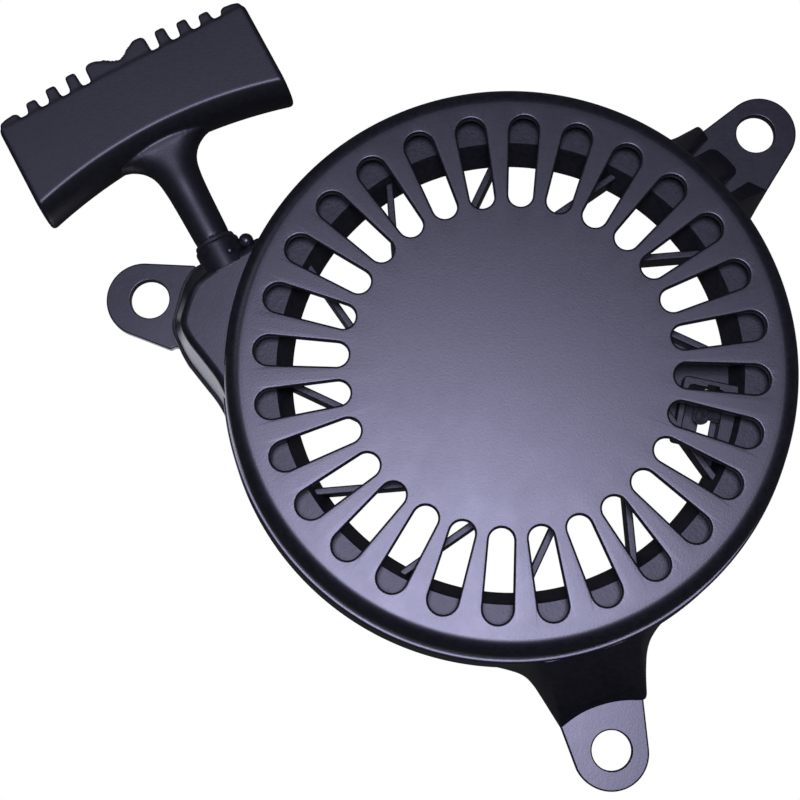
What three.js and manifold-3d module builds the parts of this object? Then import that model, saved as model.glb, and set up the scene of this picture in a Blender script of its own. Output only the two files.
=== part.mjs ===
// Recoil starter for a small engine: slotted round housing on three mounting ears, spoked rope reel
// with its spiral spring, pawls and guide plate underneath, and a T grip on the starter rope.
// Millimetres, +Z towards the slotted plate. The origin is on the reel axis in the mounting plane.
import * as THREE from 'three';
import { mergeVertices } from 'three/addons/utils/BufferGeometryUtils.js';
import Module from 'manifold-3d';

// ---------------------------------------------------------------- driving dimensions
const HEIGHT = 50;               // mounting plane to the top of the plate
const WALL = 3;                  // moulded wall
const PLATE_FLAT_R = 86.3;       // where the plate starts to roll over
const SHOULDER_R = 90.8;
const LEDGE_Z = 33;              // outward step round the skirt
const SKIRT_Z = 15;              // lower edge of the skirt
const SKIRT_R = 93.7;
const SLOT_COUNT = 28;
const SLOT_FIRST_DEG = 9.27;
const SLOT_INNER = { r: 55.2, half: 3.95 };   // centre radius and half width of each slot end
const SLOT_OUTER = { r: 76.45, half: 4.65 };
// ears: direction, hole and round end in the ear's own frame, X outwards from the reel axis, Y along the rim
const EARS = [
  { deg: 165.6, hole: 125.2, end: [127.2, 0.7], radius: 12.8 },
  { deg: 45.6, hole: 124.7, end: [125.9, -0.8], radius: 12.5 },
  { deg: 285.8, hole: 125.2, end: [125.8, -0.5], radius: 12.6 },
];
const HOLE_R = 6.6;
const EAR_THICK = 3.6;
const ROPE_Z = 34.6;             // height of the rope and of the grip's centre line
const ROPE_R = 2.25;
const PULL_DEG = 118.2;           // direction in which the grip is pulled
const OUTLET = [-95.5, 43];      // where the grip's stem seats, on the pull line
const BOSS_R = 7.5;              // rope outlet boss
const REEL_R = 86.5;
const REEL_TOP = 41;
const REEL_BOTTOM = 28;
const SPOKES = 12;
const SPOKE_TANGENT_R = 33.5;    // the spokes are tangent to this circle
const SPOKE_THICK = 2.4;
const CUP_R = 43.5;              // spring cup in the middle of the reel
const POST_R = 7;
const POST_STEP_Z = 30.4;       // shoulder that keeps the reel down
const POST_END_Z = 14.5;
const SLEEVE_R = 8.7;
const GAP = 0.3;                 // clearance between neighbouring pieces
const PIVOT_R = 24;              // radius of the two pawl pivots
const PAWL_ANGLES = [40, 220];
const PAWL_SWING = 40;           // degrees each pawl swings outwards
const GUIDE_TURN = 30;           // degrees the guide plate turns on the reel to do it
const PEG_ARM = 8;               // pawl pivot to its guide peg
const GRIP_HALF = 44.9;          // half length of the T
const GRIP_THICK = 11.3;         // half thickness of the T
const COMB_BASE = 64.3;          // bottom of the comb's notches, from the outlet
const RING = 72;                 // segments of the large circles

// ---------------------------------------------------------------- helpers
const rad = THREE.MathUtils.degToRad;
const wasm = await Module();
wasm.setup();

const polar = (r, deg) => [r * Math.cos(rad(deg)), r * Math.sin(rad(deg))];

function signedVolume(position, index) {
  let sum = 0;
  const [a, b, c] = [new THREE.Vector3(), new THREE.Vector3(), new THREE.Vector3()];
  for (let i = 0; i < index.count; i += 3) {
    a.fromBufferAttribute(position, index.getX(i));
    b.fromBufferAttribute(position, index.getX(i + 1));
    c.fromBufferAttribute(position, index.getX(i + 2));
    sum += a.dot(b.cross(c));
  }
  return sum / 6;
}

// closed three.js geometry -> manifold solid
function solid(geometry) {
  const bare = geometry.clone();
  bare.deleteAttribute('normal');
  bare.deleteAttribute('uv');
  const merged = mergeVertices(bare, 1e-4);
  const triVerts = Uint32Array.from(merged.index.array);
  if (signedVolume(merged.attributes.position, merged.index) < 0) triVerts.reverse();
  const vertProperties = Float32Array.from(merged.attributes.position.array);
  return new wasm.Manifold(new wasm.Mesh({ numProp: 3, vertProperties, triVerts }));
}

// manifold solid -> three.js geometry
function geometryOf(body) {
  const mesh = body.getMesh();
  const geometry = new THREE.BufferGeometry();
  geometry.setAttribute('position', new THREE.BufferAttribute(new Float32Array(mesh.vertProperties), 3));
  geometry.setIndex(new THREE.BufferAttribute(new Uint32Array(mesh.triVerts), 1));
  const flat = geometry.toNonIndexed();
  flat.computeVertexNormals();
  return flat;
}

const union = (list) => list.reduce((sum, item) => sum.add(item));

// solid of revolution about Z from [radius, z] pairs
function lathe(profile, segments = RING) {
  const points = profile.map(([r, z]) => new THREE.Vector2(r, z));
  if (profile[0][0] > 0) points.push(points[0].clone());
  return solid(new THREE.LatheGeometry(points, segments).rotateX(Math.PI / 2));
}

// straight prism of an [x, y] outline between two heights
function prism(outline, low, high) {
  const shape = new THREE.Shape(vectors(outline));
  const geometry = new THREE.ExtrudeGeometry(shape, { depth: high - low, bevelEnabled: false });
  return solid(geometry.translate(0, 0, low));
}

const vectors = (outline) => outline.map(([x, y]) => new THREE.Vector2(x, y));
const counterClockwise = (outline) => (THREE.ShapeUtils.isClockWise(vectors(outline))
  ? outline.slice().reverse() : outline);

// ruled solid through outlines that all have the same number of points
function loft(stack) {
  const sections = stack.map(({ outline, z }) => ({ outline: counterClockwise(outline), z }));
  const n = sections[0].outline.length;
  const position = sections.flatMap(({ outline, z }) => outline.flatMap(([x, y]) => [x, y, z]));
  const index = [];
  for (let s = 0; s < sections.length - 1; s += 1) {
    for (let i = 0; i < n; i += 1) {
      const j = (i + 1) % n;
      const [a, b, c, d] = [s * n + i, s * n + j, (s + 1) * n + j, (s + 1) * n + i];
      index.push(a, b, c, a, c, d);
    }
  }
  const cap = (outline) => THREE.ShapeUtils.triangulateShape(vectors(outline), []);
  for (const [a, b, c] of cap(sections[0].outline)) index.push(a, c, b);
  const top = (sections.length - 1) * n;
  for (const [a, b, c] of cap(sections.at(-1).outline)) index.push(top + a, top + b, top + c);
  const geometry = new THREE.BufferGeometry();
  geometry.setAttribute('position', new THREE.Float32BufferAttribute(position, 3));
  geometry.setIndex(index);
  return solid(geometry);
}

// round rod along a list of points
function rod(points, radius, steps, sides = 10) {
  const path = new THREE.CatmullRomCurve3(points.map((p) => new THREE.Vector3(...p)), false, 'centripetal');
  const section = new THREE.Shape(circle(0, 0, radius, sides).map(([x, y]) => new THREE.Vector2(x, y)));
  const options = { steps, bevelEnabled: false, extrudePath: path };
  return solid(new THREE.ExtrudeGeometry(section, options));
}

function circle(x, y, radius, sides) {
  return Array.from({ length: sides }, (_, i) => {
    const [dx, dy] = polar(radius, (360 * i) / sides);
    return [x + dx, y + dy];
  });
}

// outline round two circles of different size whose centres lie on the X axis
function taperedSlot(inner, outer, steps = 5) {
  const lean = THREE.MathUtils.radToDeg(Math.asin((outer.half - inner.half) / (outer.r - inner.r)));
  const end = (centre, from, to) => Array.from({ length: steps + 1 }, (_, i) => {
    const [dx, dy] = polar(centre.half, from + ((to - from) * i) / steps);
    return [centre.r + dx, dy];
  });
  return [...end(outer, -90 - lean, 90 + lean), ...end(inner, 90 + lean, 270 - lean)];
}

const cylinder = (x, y, radius, low, high, sides = 32) => prism(circle(x, y, radius, sides), low, high);
const turned = (body, deg) => body.rotate([0, 0, deg]);

// ---------------------------------------------------------------- materials
const plastic = (color, roughness) => new THREE.MeshStandardMaterial({ color, roughness, metalness: 0 });
const metal = (color, roughness) => new THREE.MeshStandardMaterial({ color, roughness, metalness: 1 });
const housingBlack = plastic(0x3a3a46, 0.42);
const reelGrey = plastic(0x2a2a30, 0.6);
const gripBlack = plastic(0x33333d, 0.5);
const nylonBlack = plastic(0x1c1c20, 0.5);
const ropeBlack = plastic(0x26262a, 0.9);
const springSteel = metal(0x6e7078, 0.35);
const zincSteel = metal(0xb4b6b8, 0.35);

const starter = new THREE.Group();
starter.name = 'recoil_starter';
function place(parent, name, body, material) {
  const mesh = new THREE.Mesh(geometryOf(body), material);
  mesh.name = name;
  parent.add(mesh);
}

// ---------------------------------------------------------------- housing
// the skirt's inside: everything the reel turns in
const chamber = lathe([
  [0, HEIGHT - WALL], [85.4, HEIGHT - WALL], [88, HEIGHT - WALL - 2.6], [88.7, LEDGE_Z + 0.6],
  [89.8, LEDGE_Z - 0.6], [SKIRT_R - 2.6, SKIRT_Z], [SKIRT_R - 2.6, -1], [0, -1],
]);
const drum = lathe([
  [0, HEIGHT], [PLATE_FLAT_R, HEIGHT], [88.3, HEIGHT - 0.6], [89.9, HEIGHT - 2], [SHOULDER_R, HEIGHT - 4.6],
  [91.3, LEDGE_Z + 0.5], [92.3, LEDGE_Z], [92.6, LEDGE_Z - 1], [SKIRT_R, SKIRT_Z], [0, SKIRT_Z],
]);

// gussets that stand on the ears against the skirt, each a low outline at the pad and a high one at the ledge
const LOWER_LEG = {
  low: [
    [84, -36], [87.5, -31.5], [89, -28.6], [91, -25.1], [93, -22], [95.1, -20], [99, -18.2], [106, -16.2],
    [113.7, -14], [111.3, -8.1], [110.2, -2.3], [110.1, 4.6], [111, 10], [112.2, 13.8], [112.2, 15.6],
    [110.8, 16.4], [104.4, 18], [98, 20.2], [94.1, 22.5], [90, 27.2], [87.2, 34.3], [84, 40],
  ],
  high: [
    [84, -30], [85.5, -29], [86.5, -27], [88, -24], [89.3, -21.5], [90.3, -19.5], [90.8, -18], [91.3, -15.5],
    [91.8, -13.5], [92.3, -8], [92.6, -2.3], [92.6, 4.6], [92.2, 10], [91.6, 13.6], [91.4, 15],
    [91, 16], [90.5, 17.5], [89.8, 19.5], [89, 22], [87, 26], [85.5, 30], [84, 33],
  ],
};
const LOWER_HOLLOW = {
  low: [
    [84, -22], [90, -19.5], [96, -16], [101, -14.6], [108.4, -12.4], [107.6, -4], [107.4, 5],
    [108.6, 12.4], [101, 15.4], [96, 17.2], [90, 19.5], [84, 22],
  ],
  high: [
    [84, -20], [85, -18], [86, -16], [87, -14], [88.4, -11.4], [89, -4], [89, 5], [88.4, 11.4],
    [87, 14.6], [86, 16], [85, 18], [84, 20],
  ],
};
const RIGHT_RIBS = [
  {
    low: [[84, 10], [112, 10.4], [113, 14.4], [112.8, 16.1], [104.7, 18.6], [96, 21.5], [84, 26]],
    high: [[84, 10], [91.4, 10.2], [91.6, 13.4], [91.4, 14.4], [90.6, 17.6], [88.8, 20], [84, 22]],
  },
  {
    low: [[84, -4.9], [109.4, -4.9], [110.9, -3.6], [111.4, 1.6], [111.2, 5.6], [109.6, 7.8], [84, 7.8]],
    high: [[84, -4.6], [92, -4.6], [92.5, -3.4], [92.6, 1.6], [92.5, 5.4], [92, 7.5], [84, 7.5]],
  },
  {
    low: [[84, -29], [90, -25], [96.5, -20.6], [102.1, -19], [112.6, -16.4], [110.4, -9.6], [84, -8.8]],
    high: [[84, -26], [87, -22.6], [89.6, -19], [90.4, -17], [91.3, -14], [91.8, -9.4], [84, -8.8]],
  },
];
const gusset = ({ low, high }) => loft([
  { outline: low, z: 0 }, { outline: low, z: EAR_THICK }, { outline: high, z: LEDGE_Z - 1 },
]);
const lowerHollow = loft([
  { outline: LOWER_HOLLOW.low, z: -1 }, { outline: LOWER_HOLLOW.low, z: EAR_THICK - 1 },
  { outline: LOWER_HOLLOW.high, z: LEDGE_Z - 4 },
]).subtract(prism([[60, -40], [SKIRT_R, -40], [SKIRT_R, 40], [60, 40]], SKIRT_Z, HEIGHT));

// ear pad: tapered tongue with a round end, from its root corners at +Y and -Y
const EAR_ROOTS = [
  [[106, 13], [112.4, 14], [113.6, 15.2]],
  [[98, 16], [106, 15], [113.2, 13.6]],
  [[97, 20.4], [104.4, 17.8], [112.2, 14.8]],
];
const EAR_ROOTS_BACK = [
  [[113.4, -15.2], [112.4, -14.4], [106, -13]],
  [[116.4, -15.7], [106, -18.1], [98, -20.2]],
  [[113.7, -14], [104, -16.8], [97, -18.9]],
];
function earPad({ end, radius }, i) {
  const round = [80, 66, 52, 39, 26, 13, 0, -13, -26, -39, -52, -66, -80].map((deg) => {
    const [dx, dy] = polar(radius, deg);
    return [end[0] + dx, end[1] + dy];
  });
  return prism([...EAR_ROOTS[i], ...round, ...EAR_ROOTS_BACK[i]], 0, EAR_THICK);
}
const earHole = ({ hole }) => cylinder(hole, 0, HOLE_R, -1, EAR_THICK + 1);

// from the pull line's frame, X outwards along the pull and Y along the grip, to the starter's
function alongPull(body) {
  return body.rotate([0, 0, PULL_DEG]).translate([OUTLET[0], OUTLET[1], ROPE_Z]);
}
// turn a Z-axis solid so that its axis lies on the pull line
const onPullLine = (body) => alongPull(body.rotate([0, 90, 0]));

// rope outlet: a bulge that leaves the drum along a tangent
const snoutTop = [
  [-70, 30], [-84, -28], [-92.6, -4.4], [-99, 3.9], [-103.6, 9.6], [-106.1, 14.2], [-106.4, 17.4],
  [-103.9, 25.2], [-101, 30.2], [-92.5, 36.4], [-80.5, 43.4],
];
const snoutLow = [
  [-70, 30], [-84, -36], [-94.2, -8.9], [-101.2, -0.3], [-107, 7], [-111.4, 16.6], [-111.6, 21.4],
  [-108.2, 34.2], [-104.6, 39.4], [-95, 43.4], [-81.5, 50.2],
];
const snoutFoot = [
  [-70, 30], [-84, -36], [-94.2, -8.9], [-101.2, -0.3], [-108.6, 8.8], [-112.6, 18.4], [-112.2, 24],
  [-109.2, 36.2], [-105.6, 41.4], [-95, 43.8], [-81.5, 50.2],
];
function inset(outline, distance) {
  return outline.map(([x, y], i) => {
    const [px, py] = outline[(i + outline.length - 1) % outline.length];
    const [nx, ny] = outline[(i + 1) % outline.length];
    const before = new THREE.Vector2(x - px, y - py).normalize();
    const after = new THREE.Vector2(nx - x, ny - y).normalize();
    const normal = new THREE.Vector2(-before.y - after.y, before.x + after.x).normalize();
    const spread = Math.max(0.5, before.dot(after));
    const reach = distance / Math.sqrt((1 + spread) / 2);
    return [x + normal.x * reach, y + normal.y * reach];
  });
}
const SNOUT_Z = 40.4;
const LIP_Z = 17.2;
const snoutEdge = [[0, 2.6], [0.35, 1.3], [1.1, 0.5], [2.4, 0]];   // inset and drop of the rounded top edge
const snoutSections = [
  { outline: counterClockwise(snoutLow), z: SKIRT_Z },
  { outline: counterClockwise(snoutLow), z: LIP_Z },
  { outline: inset(counterClockwise(snoutLow), 1.1), z: LIP_Z + 0.1 },
  ...snoutEdge.map(([inwards, drop]) => ({
    outline: inset(counterClockwise(snoutTop), inwards), z: SNOUT_Z - drop,
  })),
];
const snout = loft(snoutSections);
const snoutHollow = loft([
  { outline: inset(counterClockwise(snoutLow), 2.6), z: SKIRT_Z - 1 },
  { outline: inset(counterClockwise(snoutTop), 2.8), z: SNOUT_Z - WALL },
]);
// below the outlet the bulge runs down to the left ear
const snoutLeg = loft([
  { outline: counterClockwise(snoutFoot), z: 0 }, { outline: counterClockwise(snoutLow), z: SKIRT_Z + 1 },
]).intersect(prism([[-90, 7.6], [-120, 7.6], [-120, 46], [-90, 46]], -1, SKIRT_Z + 2));
const snoutLegHollow = loft([
  { outline: inset(counterClockwise(snoutFoot), 2.6), z: -1 },
  { outline: inset(counterClockwise(snoutLow), 2.6), z: SKIRT_Z + 1 },
]).intersect(prism([[-88, 10.4], [-120, 10.4], [-120, 38], [-88, 38]], -2, SKIRT_Z + 3));

const bossLength = 10;
const boss = onPullLine(lathe([
  [0, -bossLength], [BOSS_R, -bossLength], [BOSS_R, -2.2], [BOSS_R - 1.2, -1], [0, -1],
], 36));
const bossBore = onPullLine(cylinder(0, 0, 5.6, -bossLength - 4, 0, 28));
// small rounded rib between the boss and the drum
const bossRib = alongPull(cylinder(-4.6, -9.2, 2.4, -12, 4.6, 16));

// spring arbor and bearing post, moulded under the plate
const post = lathe([
  [0, HEIGHT - WALL + 1], [16, HEIGHT - WALL + 1], [16, HEIGHT - WALL], [10, HEIGHT - WALL - 1.5],
  [10, POST_STEP_Z], [POST_R, POST_STEP_Z], [POST_R, POST_END_Z], [0, POST_END_Z],
], 48);
const screwHole = cylinder(0, 0, 3.1, 14, 33, 20);
const springSlot = prism([[-0.6, 4], [1.2, 4], [1.2, 12], [-0.6, 12]], POST_STEP_Z - 1, 44.5);

const onEar = (i, body) => turned(body, EARS[i].deg);
const ears = EARS.map((ear, i) => onEar(i, earPad(ear, i)));
const legs = [onEar(2, gusset(LOWER_LEG)), ...RIGHT_RIBS.map((rib) => onEar(1, gusset(rib)))];
const slot = prism(taperedSlot(SLOT_INNER, SLOT_OUTER), HEIGHT - WALL - 1, HEIGHT + 1);
const slotDeg = (i) => SLOT_FIRST_DEG + (360 * i) / SLOT_COUNT;
const slots = Array.from({ length: SLOT_COUNT }, (_, i) => turned(slot, slotDeg(i)));

let housing = union([drum, snout, snoutLeg, boss, bossRib, ...ears, ...legs]);
housing = housing.subtract(union([chamber, snoutHollow, snoutLegHollow, onEar(2, lowerHollow)]));
const earHoles = EARS.map((ear, i) => onEar(i, earHole(ear)));
housing = housing.subtract(union([bossBore, ...slots, ...earHoles]));
housing = housing.add(post).subtract(screwHole).subtract(springSlot);
place(starter, 'housing', housing, housingBlack);

// ---------------------------------------------------------------- rope outlet
const eyelet = onPullLine(lathe([
  [4.6, 0.9], [6.4, 0.9], [6.8, 0.4], [6.8, -0.7], [5.3, -0.7], [5.3, -11.5], [4.4, -11.5], [3.2, -8.4],
  [2.8, -6], [3.2, -3.2],
], 28));
place(starter, 'rope_eyelet', eyelet, nylonBlack);

// ---------------------------------------------------------------- reel
const reelBody = new THREE.Group();
reelBody.name = 'reel_body';
starter.add(reelBody);

const FLANGE = 1.4;
const [RIM_TOP_R, RIM_LOW_R] = [74.2, 70.2];  // inner radius of the rim at its top and bottom
const rimOuterTop = [RIM_TOP_R + 2.6, REEL_TOP - FLANGE];
const rimOuterLow = [RIM_LOW_R + 3.2, REEL_BOTTOM + FLANGE];
const rim = lathe([
  [RIM_TOP_R, REEL_TOP], [REEL_R, REEL_TOP], [REEL_R, REEL_TOP - FLANGE], rimOuterTop, rimOuterLow,
  [REEL_R, REEL_BOTTOM + FLANGE], [REEL_R, REEL_BOTTOM], [RIM_LOW_R, REEL_BOTTOM],
  [RIM_LOW_R, REEL_BOTTOM + FLANGE],
]);
const groove = lathe([
  [REEL_R + 1, REEL_TOP - FLANGE], rimOuterTop, rimOuterLow, [REEL_R + 1, REEL_BOTTOM + FLANGE],
]);
const CUP_FLOOR = 30;
const HUB_LOW = 27.5;
const BORE_TUBE = { r: 12.5, low: 21.2 };
const hub = lathe([
  [SLEEVE_R + GAP, CUP_FLOOR], [CUP_R - 2.2, CUP_FLOOR], [CUP_R - 2.2, 45.4], [CUP_R, 45.4], [CUP_R, HUB_LOW],
  [BORE_TUBE.r, HUB_LOW], [BORE_TUBE.r, BORE_TUBE.low], [SLEEVE_R + GAP, BORE_TUBE.low],
], 54);
const SPOKE_TOP = 37.5;
const SPOKE_FIRST_DEG = 64.7;
const [spokeNear, spokeFar] = [SPOKE_TANGENT_R - SPOKE_THICK / 2, SPOKE_TANGENT_R + SPOKE_THICK / 2];
const spoke = prism(
  [[spokeNear, -65.4], [spokeFar, -65.4], [spokeFar, -27], [spokeNear, -27]], REEL_BOTTOM, SPOKE_TOP,
);
const spokes = Array.from({ length: SPOKES }, (_, i) => turned(spoke, SPOKE_FIRST_DEG + (360 * i) / SPOKES));

// one bay between two spokes is filled and carries the pocket for the rope's knot
function alongSpoke(r, behind) {
  const lean = THREE.MathUtils.radToDeg(Math.acos(SPOKE_TANGENT_R / r));
  return polar(r, SPOKE_FIRST_DEG - lean - behind);
}
const bay = prism([
  alongSpoke(42.5, 0), alongSpoke(56, 0), alongSpoke(71.5, 0), alongSpoke(72.4, 10), alongSpoke(72.4, 20),
  alongSpoke(71.5, 30), alongSpoke(56, 30), alongSpoke(42.5, 30), alongSpoke(43, 15),
], REEL_BOTTOM, REEL_BOTTOM + 3);
const KNOT_DEG = 348;
const box = (x0, x1, y, z0, z1) => turned(prism([[x0, -y], [x1, -y], [x1, y], [x0, y]], z0, z1), KNOT_DEG);
const pocketBlock = box(55, 73.5, 10.5, REEL_BOTTOM, SPOKE_TOP);
const pocketRoom = box(57.2, 68.6, 8, REEL_BOTTOM + 2.4, 50);
const pocketDrain = box(62.8, 66.8, 9, 20, 50);
const alongX = (body) => body.rotate([0, 90, 0]).translate([0, 0, ROPE_Z]);
const ropeHole = turned(alongX(cylinder(0, 0, ROPE_R + 0.5, 60, 80, 16)), KNOT_DEG);
const hookNotch = prism([[-1.1, 40], [0.5, 40], [0.5, 45], [-1.1, 45]], CUP_FLOOR + 0.6, 46);

let reel = union([rim, hub, ...spokes, bay, pocketBlock]);
reel = reel.subtract(union([groove, pocketRoom, pocketDrain, ropeHole, hookNotch]));
for (const angle of PAWL_ANGLES) {
  const [x, y] = polar(PIVOT_R, angle);
  reel = reel.subtract(cylinder(x, y, 2.3, 20, 29.2, 20));
}
place(reelBody, 'reel', reel, reelGrey);

const WIND_R = 79.6;             // centre line of the wound rope
place(reelBody, 'rope_winding', lathe([
  [77.3, 31.2], [78.6, 30], [80.6, 30], [81.9, 31.2], [81.9, 38], [80.6, 39.2], [78.6, 39.2], [77.3, 38],
]), ropeBlack);

const knot = solid(new THREE.SphereGeometry(4.3, 12, 8));
const reelKnot = knot.scale([0.95, 1.2, 0.8]).translate([62.9, 0, ROPE_Z])
  .add(alongX(cylinder(0, 0, ROPE_R, 62, 76.3, 12)));
place(reelBody, 'rope_reel_knot', turned(reelKnot, KNOT_DEG), ropeBlack);

// the spiral spring, hooked to the arbor inside and to the cup outside
function springOutline() {
  const [inner, outer, turns, perTurn, strip] = [11.2, 40, 8, 18, 0.6];
  const steps = turns * perTurn;
  const side = (offset) => Array.from({ length: steps + 1 }, (_, i) => {
    const t = i / steps;
    return polar(inner + (outer - inner) * t ** 0.72 + offset, 90 + 360 * turns * t);
  });
  const outerHook = [[0, 43.1], [-strip, 43.1], [-strip, outer]];
  const innerHook = [[0, 5], [strip, 5], [strip, inner + strip]];
  return [...side(strip), ...outerHook, ...side(0).reverse(), ...innerHook];
}
place(reelBody, 'recoil_spring', prism(springOutline(), 31, 43), springSteel);

// ---------------------------------------------------------------- pawls and guide plate
const pawlRest = (arm, deg) => [PIVOT_R + arm * Math.cos(rad(deg)), arm * Math.sin(rad(deg))];
const [PAWL_LOW, PAWL_TOP] = [21.3, 25.3];
const [GUIDE_LOW, GUIDE_TOP] = [18.4, 20.8];
const PEG_R = 1.6;
const pawlArm = [
  [5.1, 1], [5.6, -8], [6.2, -18], [5.4, -24.6], [2.2, -26], [-0.6, -24.4], [-2.6, -14], [-5.1, 1],
];
const pawl = prism(pawlArm, PAWL_LOW, PAWL_TOP)
  .add(cylinder(0, 0, 5.2, PAWL_LOW, PAWL_TOP, 28))
  .add(cylinder(0, -PEG_ARM, PEG_R, GUIDE_LOW + 0.2, PAWL_TOP - 1, 16))
  .subtract(cylinder(0, 0, 2.7, 15, 30, 20));
const pin = lathe([[0, 28.9], [2, 28.9], [2, 27.2], [2.4, 27.2], [2.4, 21.2], [0, 21.2]], 20);
const springWire = rod([
  [7.6, 6.6, 26.4], [5.2, 3.6, 26.4], [3.35, 0.6, 26.3], [1.7, -2.9, 26.3], [-2, -2.7, 26.3],
  [-3.3, 0.6, 26.3], [-0.8, 3.3, 26.4], [-4.4, 5.4, 26.4], [-7.4, 6.4, 26.4],
], 0.35, 20, 6);
for (const [i, angle] of PAWL_ANGLES.entries()) {
  const side = 'ab'[i];
  const atPivot = (body) => turned(body.translate([PIVOT_R, 0, 0]), angle);
  place(reelBody, `pawl_${side}`, atPivot(pawl), zincSteel);
  place(reelBody, `pawl_pin_${side}`, atPivot(pin), zincSteel);
  place(reelBody, `pawl_spring_${side}`, atPivot(springWire), springSteel);
}

// cam slot: the path of a pawl's peg seen from the turning guide plate
function camSlot() {
  const clearance = PEG_R + 0.35;
  const path = Array.from({ length: 11 }, (_, i) => {
    const [x, y] = pawlRest(PEG_ARM, -90 + (PAWL_SWING * i) / 10);
    return new THREE.Vector2(x, y).rotateAround(new THREE.Vector2(), -rad((GUIDE_TURN * i) / 10));
  });
  return union(path.map((p) => cylinder(p.x, p.y, clearance, 15, 25, 20)).concat(path.slice(1).map((p, i) => {
    const q = path[i];
    const across = new THREE.Vector2(q.y - p.y, p.x - q.x).setLength(clearance);
    const corners = [[p, 1], [q, 1], [q, -1], [p, -1]];
    return prism(corners.map(([c, s]) => [c.x + s * across.x, c.y + s * across.y]), 15, 25);
  })));
}
const guide = lathe([
  [SLEEVE_R + 0.4, GUIDE_TOP], [33.4, GUIDE_TOP], [34, GUIDE_TOP - 0.6], [34, GUIDE_LOW], [16.5, GUIDE_LOW],
  [15.3, GUIDE_LOW - 1], [14, GUIDE_LOW - 1], [14, GUIDE_LOW], [SLEEVE_R + 0.4, GUIDE_LOW],
], 48).subtract(union(PAWL_ANGLES.map((angle) => turned(camSlot(), angle))));
place(reelBody, 'guide_plate', guide, nylonBlack);

// ---------------------------------------------------------------- centre fastening
const centre = new THREE.Group();
centre.name = 'centre_fastening';
starter.add(centre);
place(centre, 'post_sleeve', lathe([
  [POST_R + GAP, 30.1], [SLEEVE_R, 30.1], [SLEEVE_R, POST_END_Z + GAP], [POST_R + GAP, POST_END_Z + GAP],
], 28), zincSteel);
const coil = Array.from({ length: 22 }, (_, i) => [...polar(10.4, 30 * i), 15.45 + (2.1 * i) / 21]);
place(centre, 'friction_spring', rod(coil, 0.55, 42, 6), springSteel);
place(centre, 'screw_washer', lathe([[3.1, 14.2], [13, 14.2], [13, 13], [3.1, 13]], 28), zincSteel);
const hexHead = prism(circle(0, 0, 5.8, 6), 7.8, 11.7);
const screw = lathe([
  [0, 32], [2.4, 32], [2.8, 31.4], [2.8, 12.7], [6.6, 12.7], [6.6, 11.8], [5.9, 11.4], [0, 11.4],
], 24).add(hexHead);
place(centre, 'centre_screw', screw, zincSteel);

// ---------------------------------------------------------------- rope from reel to grip
const pull = polar(1, PULL_DEG);
const onLine = (a) => [OUTLET[0] + a * pull[0], OUTLET[1] + a * pull[1], ROPE_Z];
const bend = onLine(-6);
const bendR = Math.hypot(bend[0], bend[1]);
const tangentAngle = Math.atan2(bend[1], bend[0]) + Math.acos(WIND_R / bendR);
const tangent = [WIND_R * Math.cos(tangentAngle), WIND_R * Math.sin(tangentAngle)];
const toBend = (t) => [0, 1].map((k) => tangent[k] + t * (bend[k] - tangent[k])).concat(ROPE_Z);
place(starter, 'rope_lead', rod(
  [toBend(0.48), toBend(0.7), toBend(0.9), bend, onLine(-3), onLine(1)], ROPE_R, 24, 12,
), ropeBlack);

// ---------------------------------------------------------------- grip
const gripBody = new THREE.Group();
gripBody.name = 'grip_body';
starter.add(gripBody);

// section of the T: flat sides with a crease where the rounded finger side starts
const FINGER_REACH = 36;         // outlet to the middle of the finger side
const FINGER_BOW = 6.4;          // how much nearer its ends are
const FINGER_ROUND = 5.7;
const CREASE_DEG = 64;
function barSection(b, shrink) {
  const finger = FINGER_REACH - FINGER_BOW * (b / GRIP_HALF) ** 2 + shrink;
  const half = GRIP_THICK - shrink;
  const back = COMB_BASE - shrink;
  const [level, rise] = polar(1, CREASE_DEG);
  const round = Array.from({ length: 11 }, (_, i) => {
    const [x, y] = polar(1, CREASE_DEG * (1 - i / 5));
    return [finger + FINGER_ROUND * (1 - (x - level) / (1 - level)), (half * y) / rise];
  });
  return [[back - 0.6, -half], [back, -half + 0.6], [back, half - 0.6], [back - 0.6, half], ...round];
}
const stations = [
  [-GRIP_HALF, 1.4], [-GRIP_HALF + 1.4, 0], [-33, 0], [-22, 0], [-11, 0], [0, 0], [11, 0], [22, 0],
  [33, 0], [GRIP_HALF - 1.4, 0], [GRIP_HALF, 1.4],
];
const barSections = stations.map(([b, shrink]) => ({ outline: barSection(b, shrink), z: b }));
const bar = loft(barSections).rotate([-90, 0, 0]);
// the stem widens into the T: distance from the outlet, half width along the T, half height
const STEM = [
  [1.3, 5.5, 5.2], [1.8, 5.9, 5.6], [15, 6.25, 6], [22, 6.65, 6.4], [27, 7.4, 6.8], [30, 8.7, 7.3],
  [32.5, 10.9, 8], [34.5, 14.2, 8.7], [36.2, 18.5, 9.3], [41, 20, 10.6],
];
const stem = loft(STEM.map(([a, wide, high]) => ({
  outline: circle(0, 0, 1, 24).map(([x, y]) => [high * x, wide * y]), z: a,
}))).rotate([0, 90, 0]);

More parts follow.
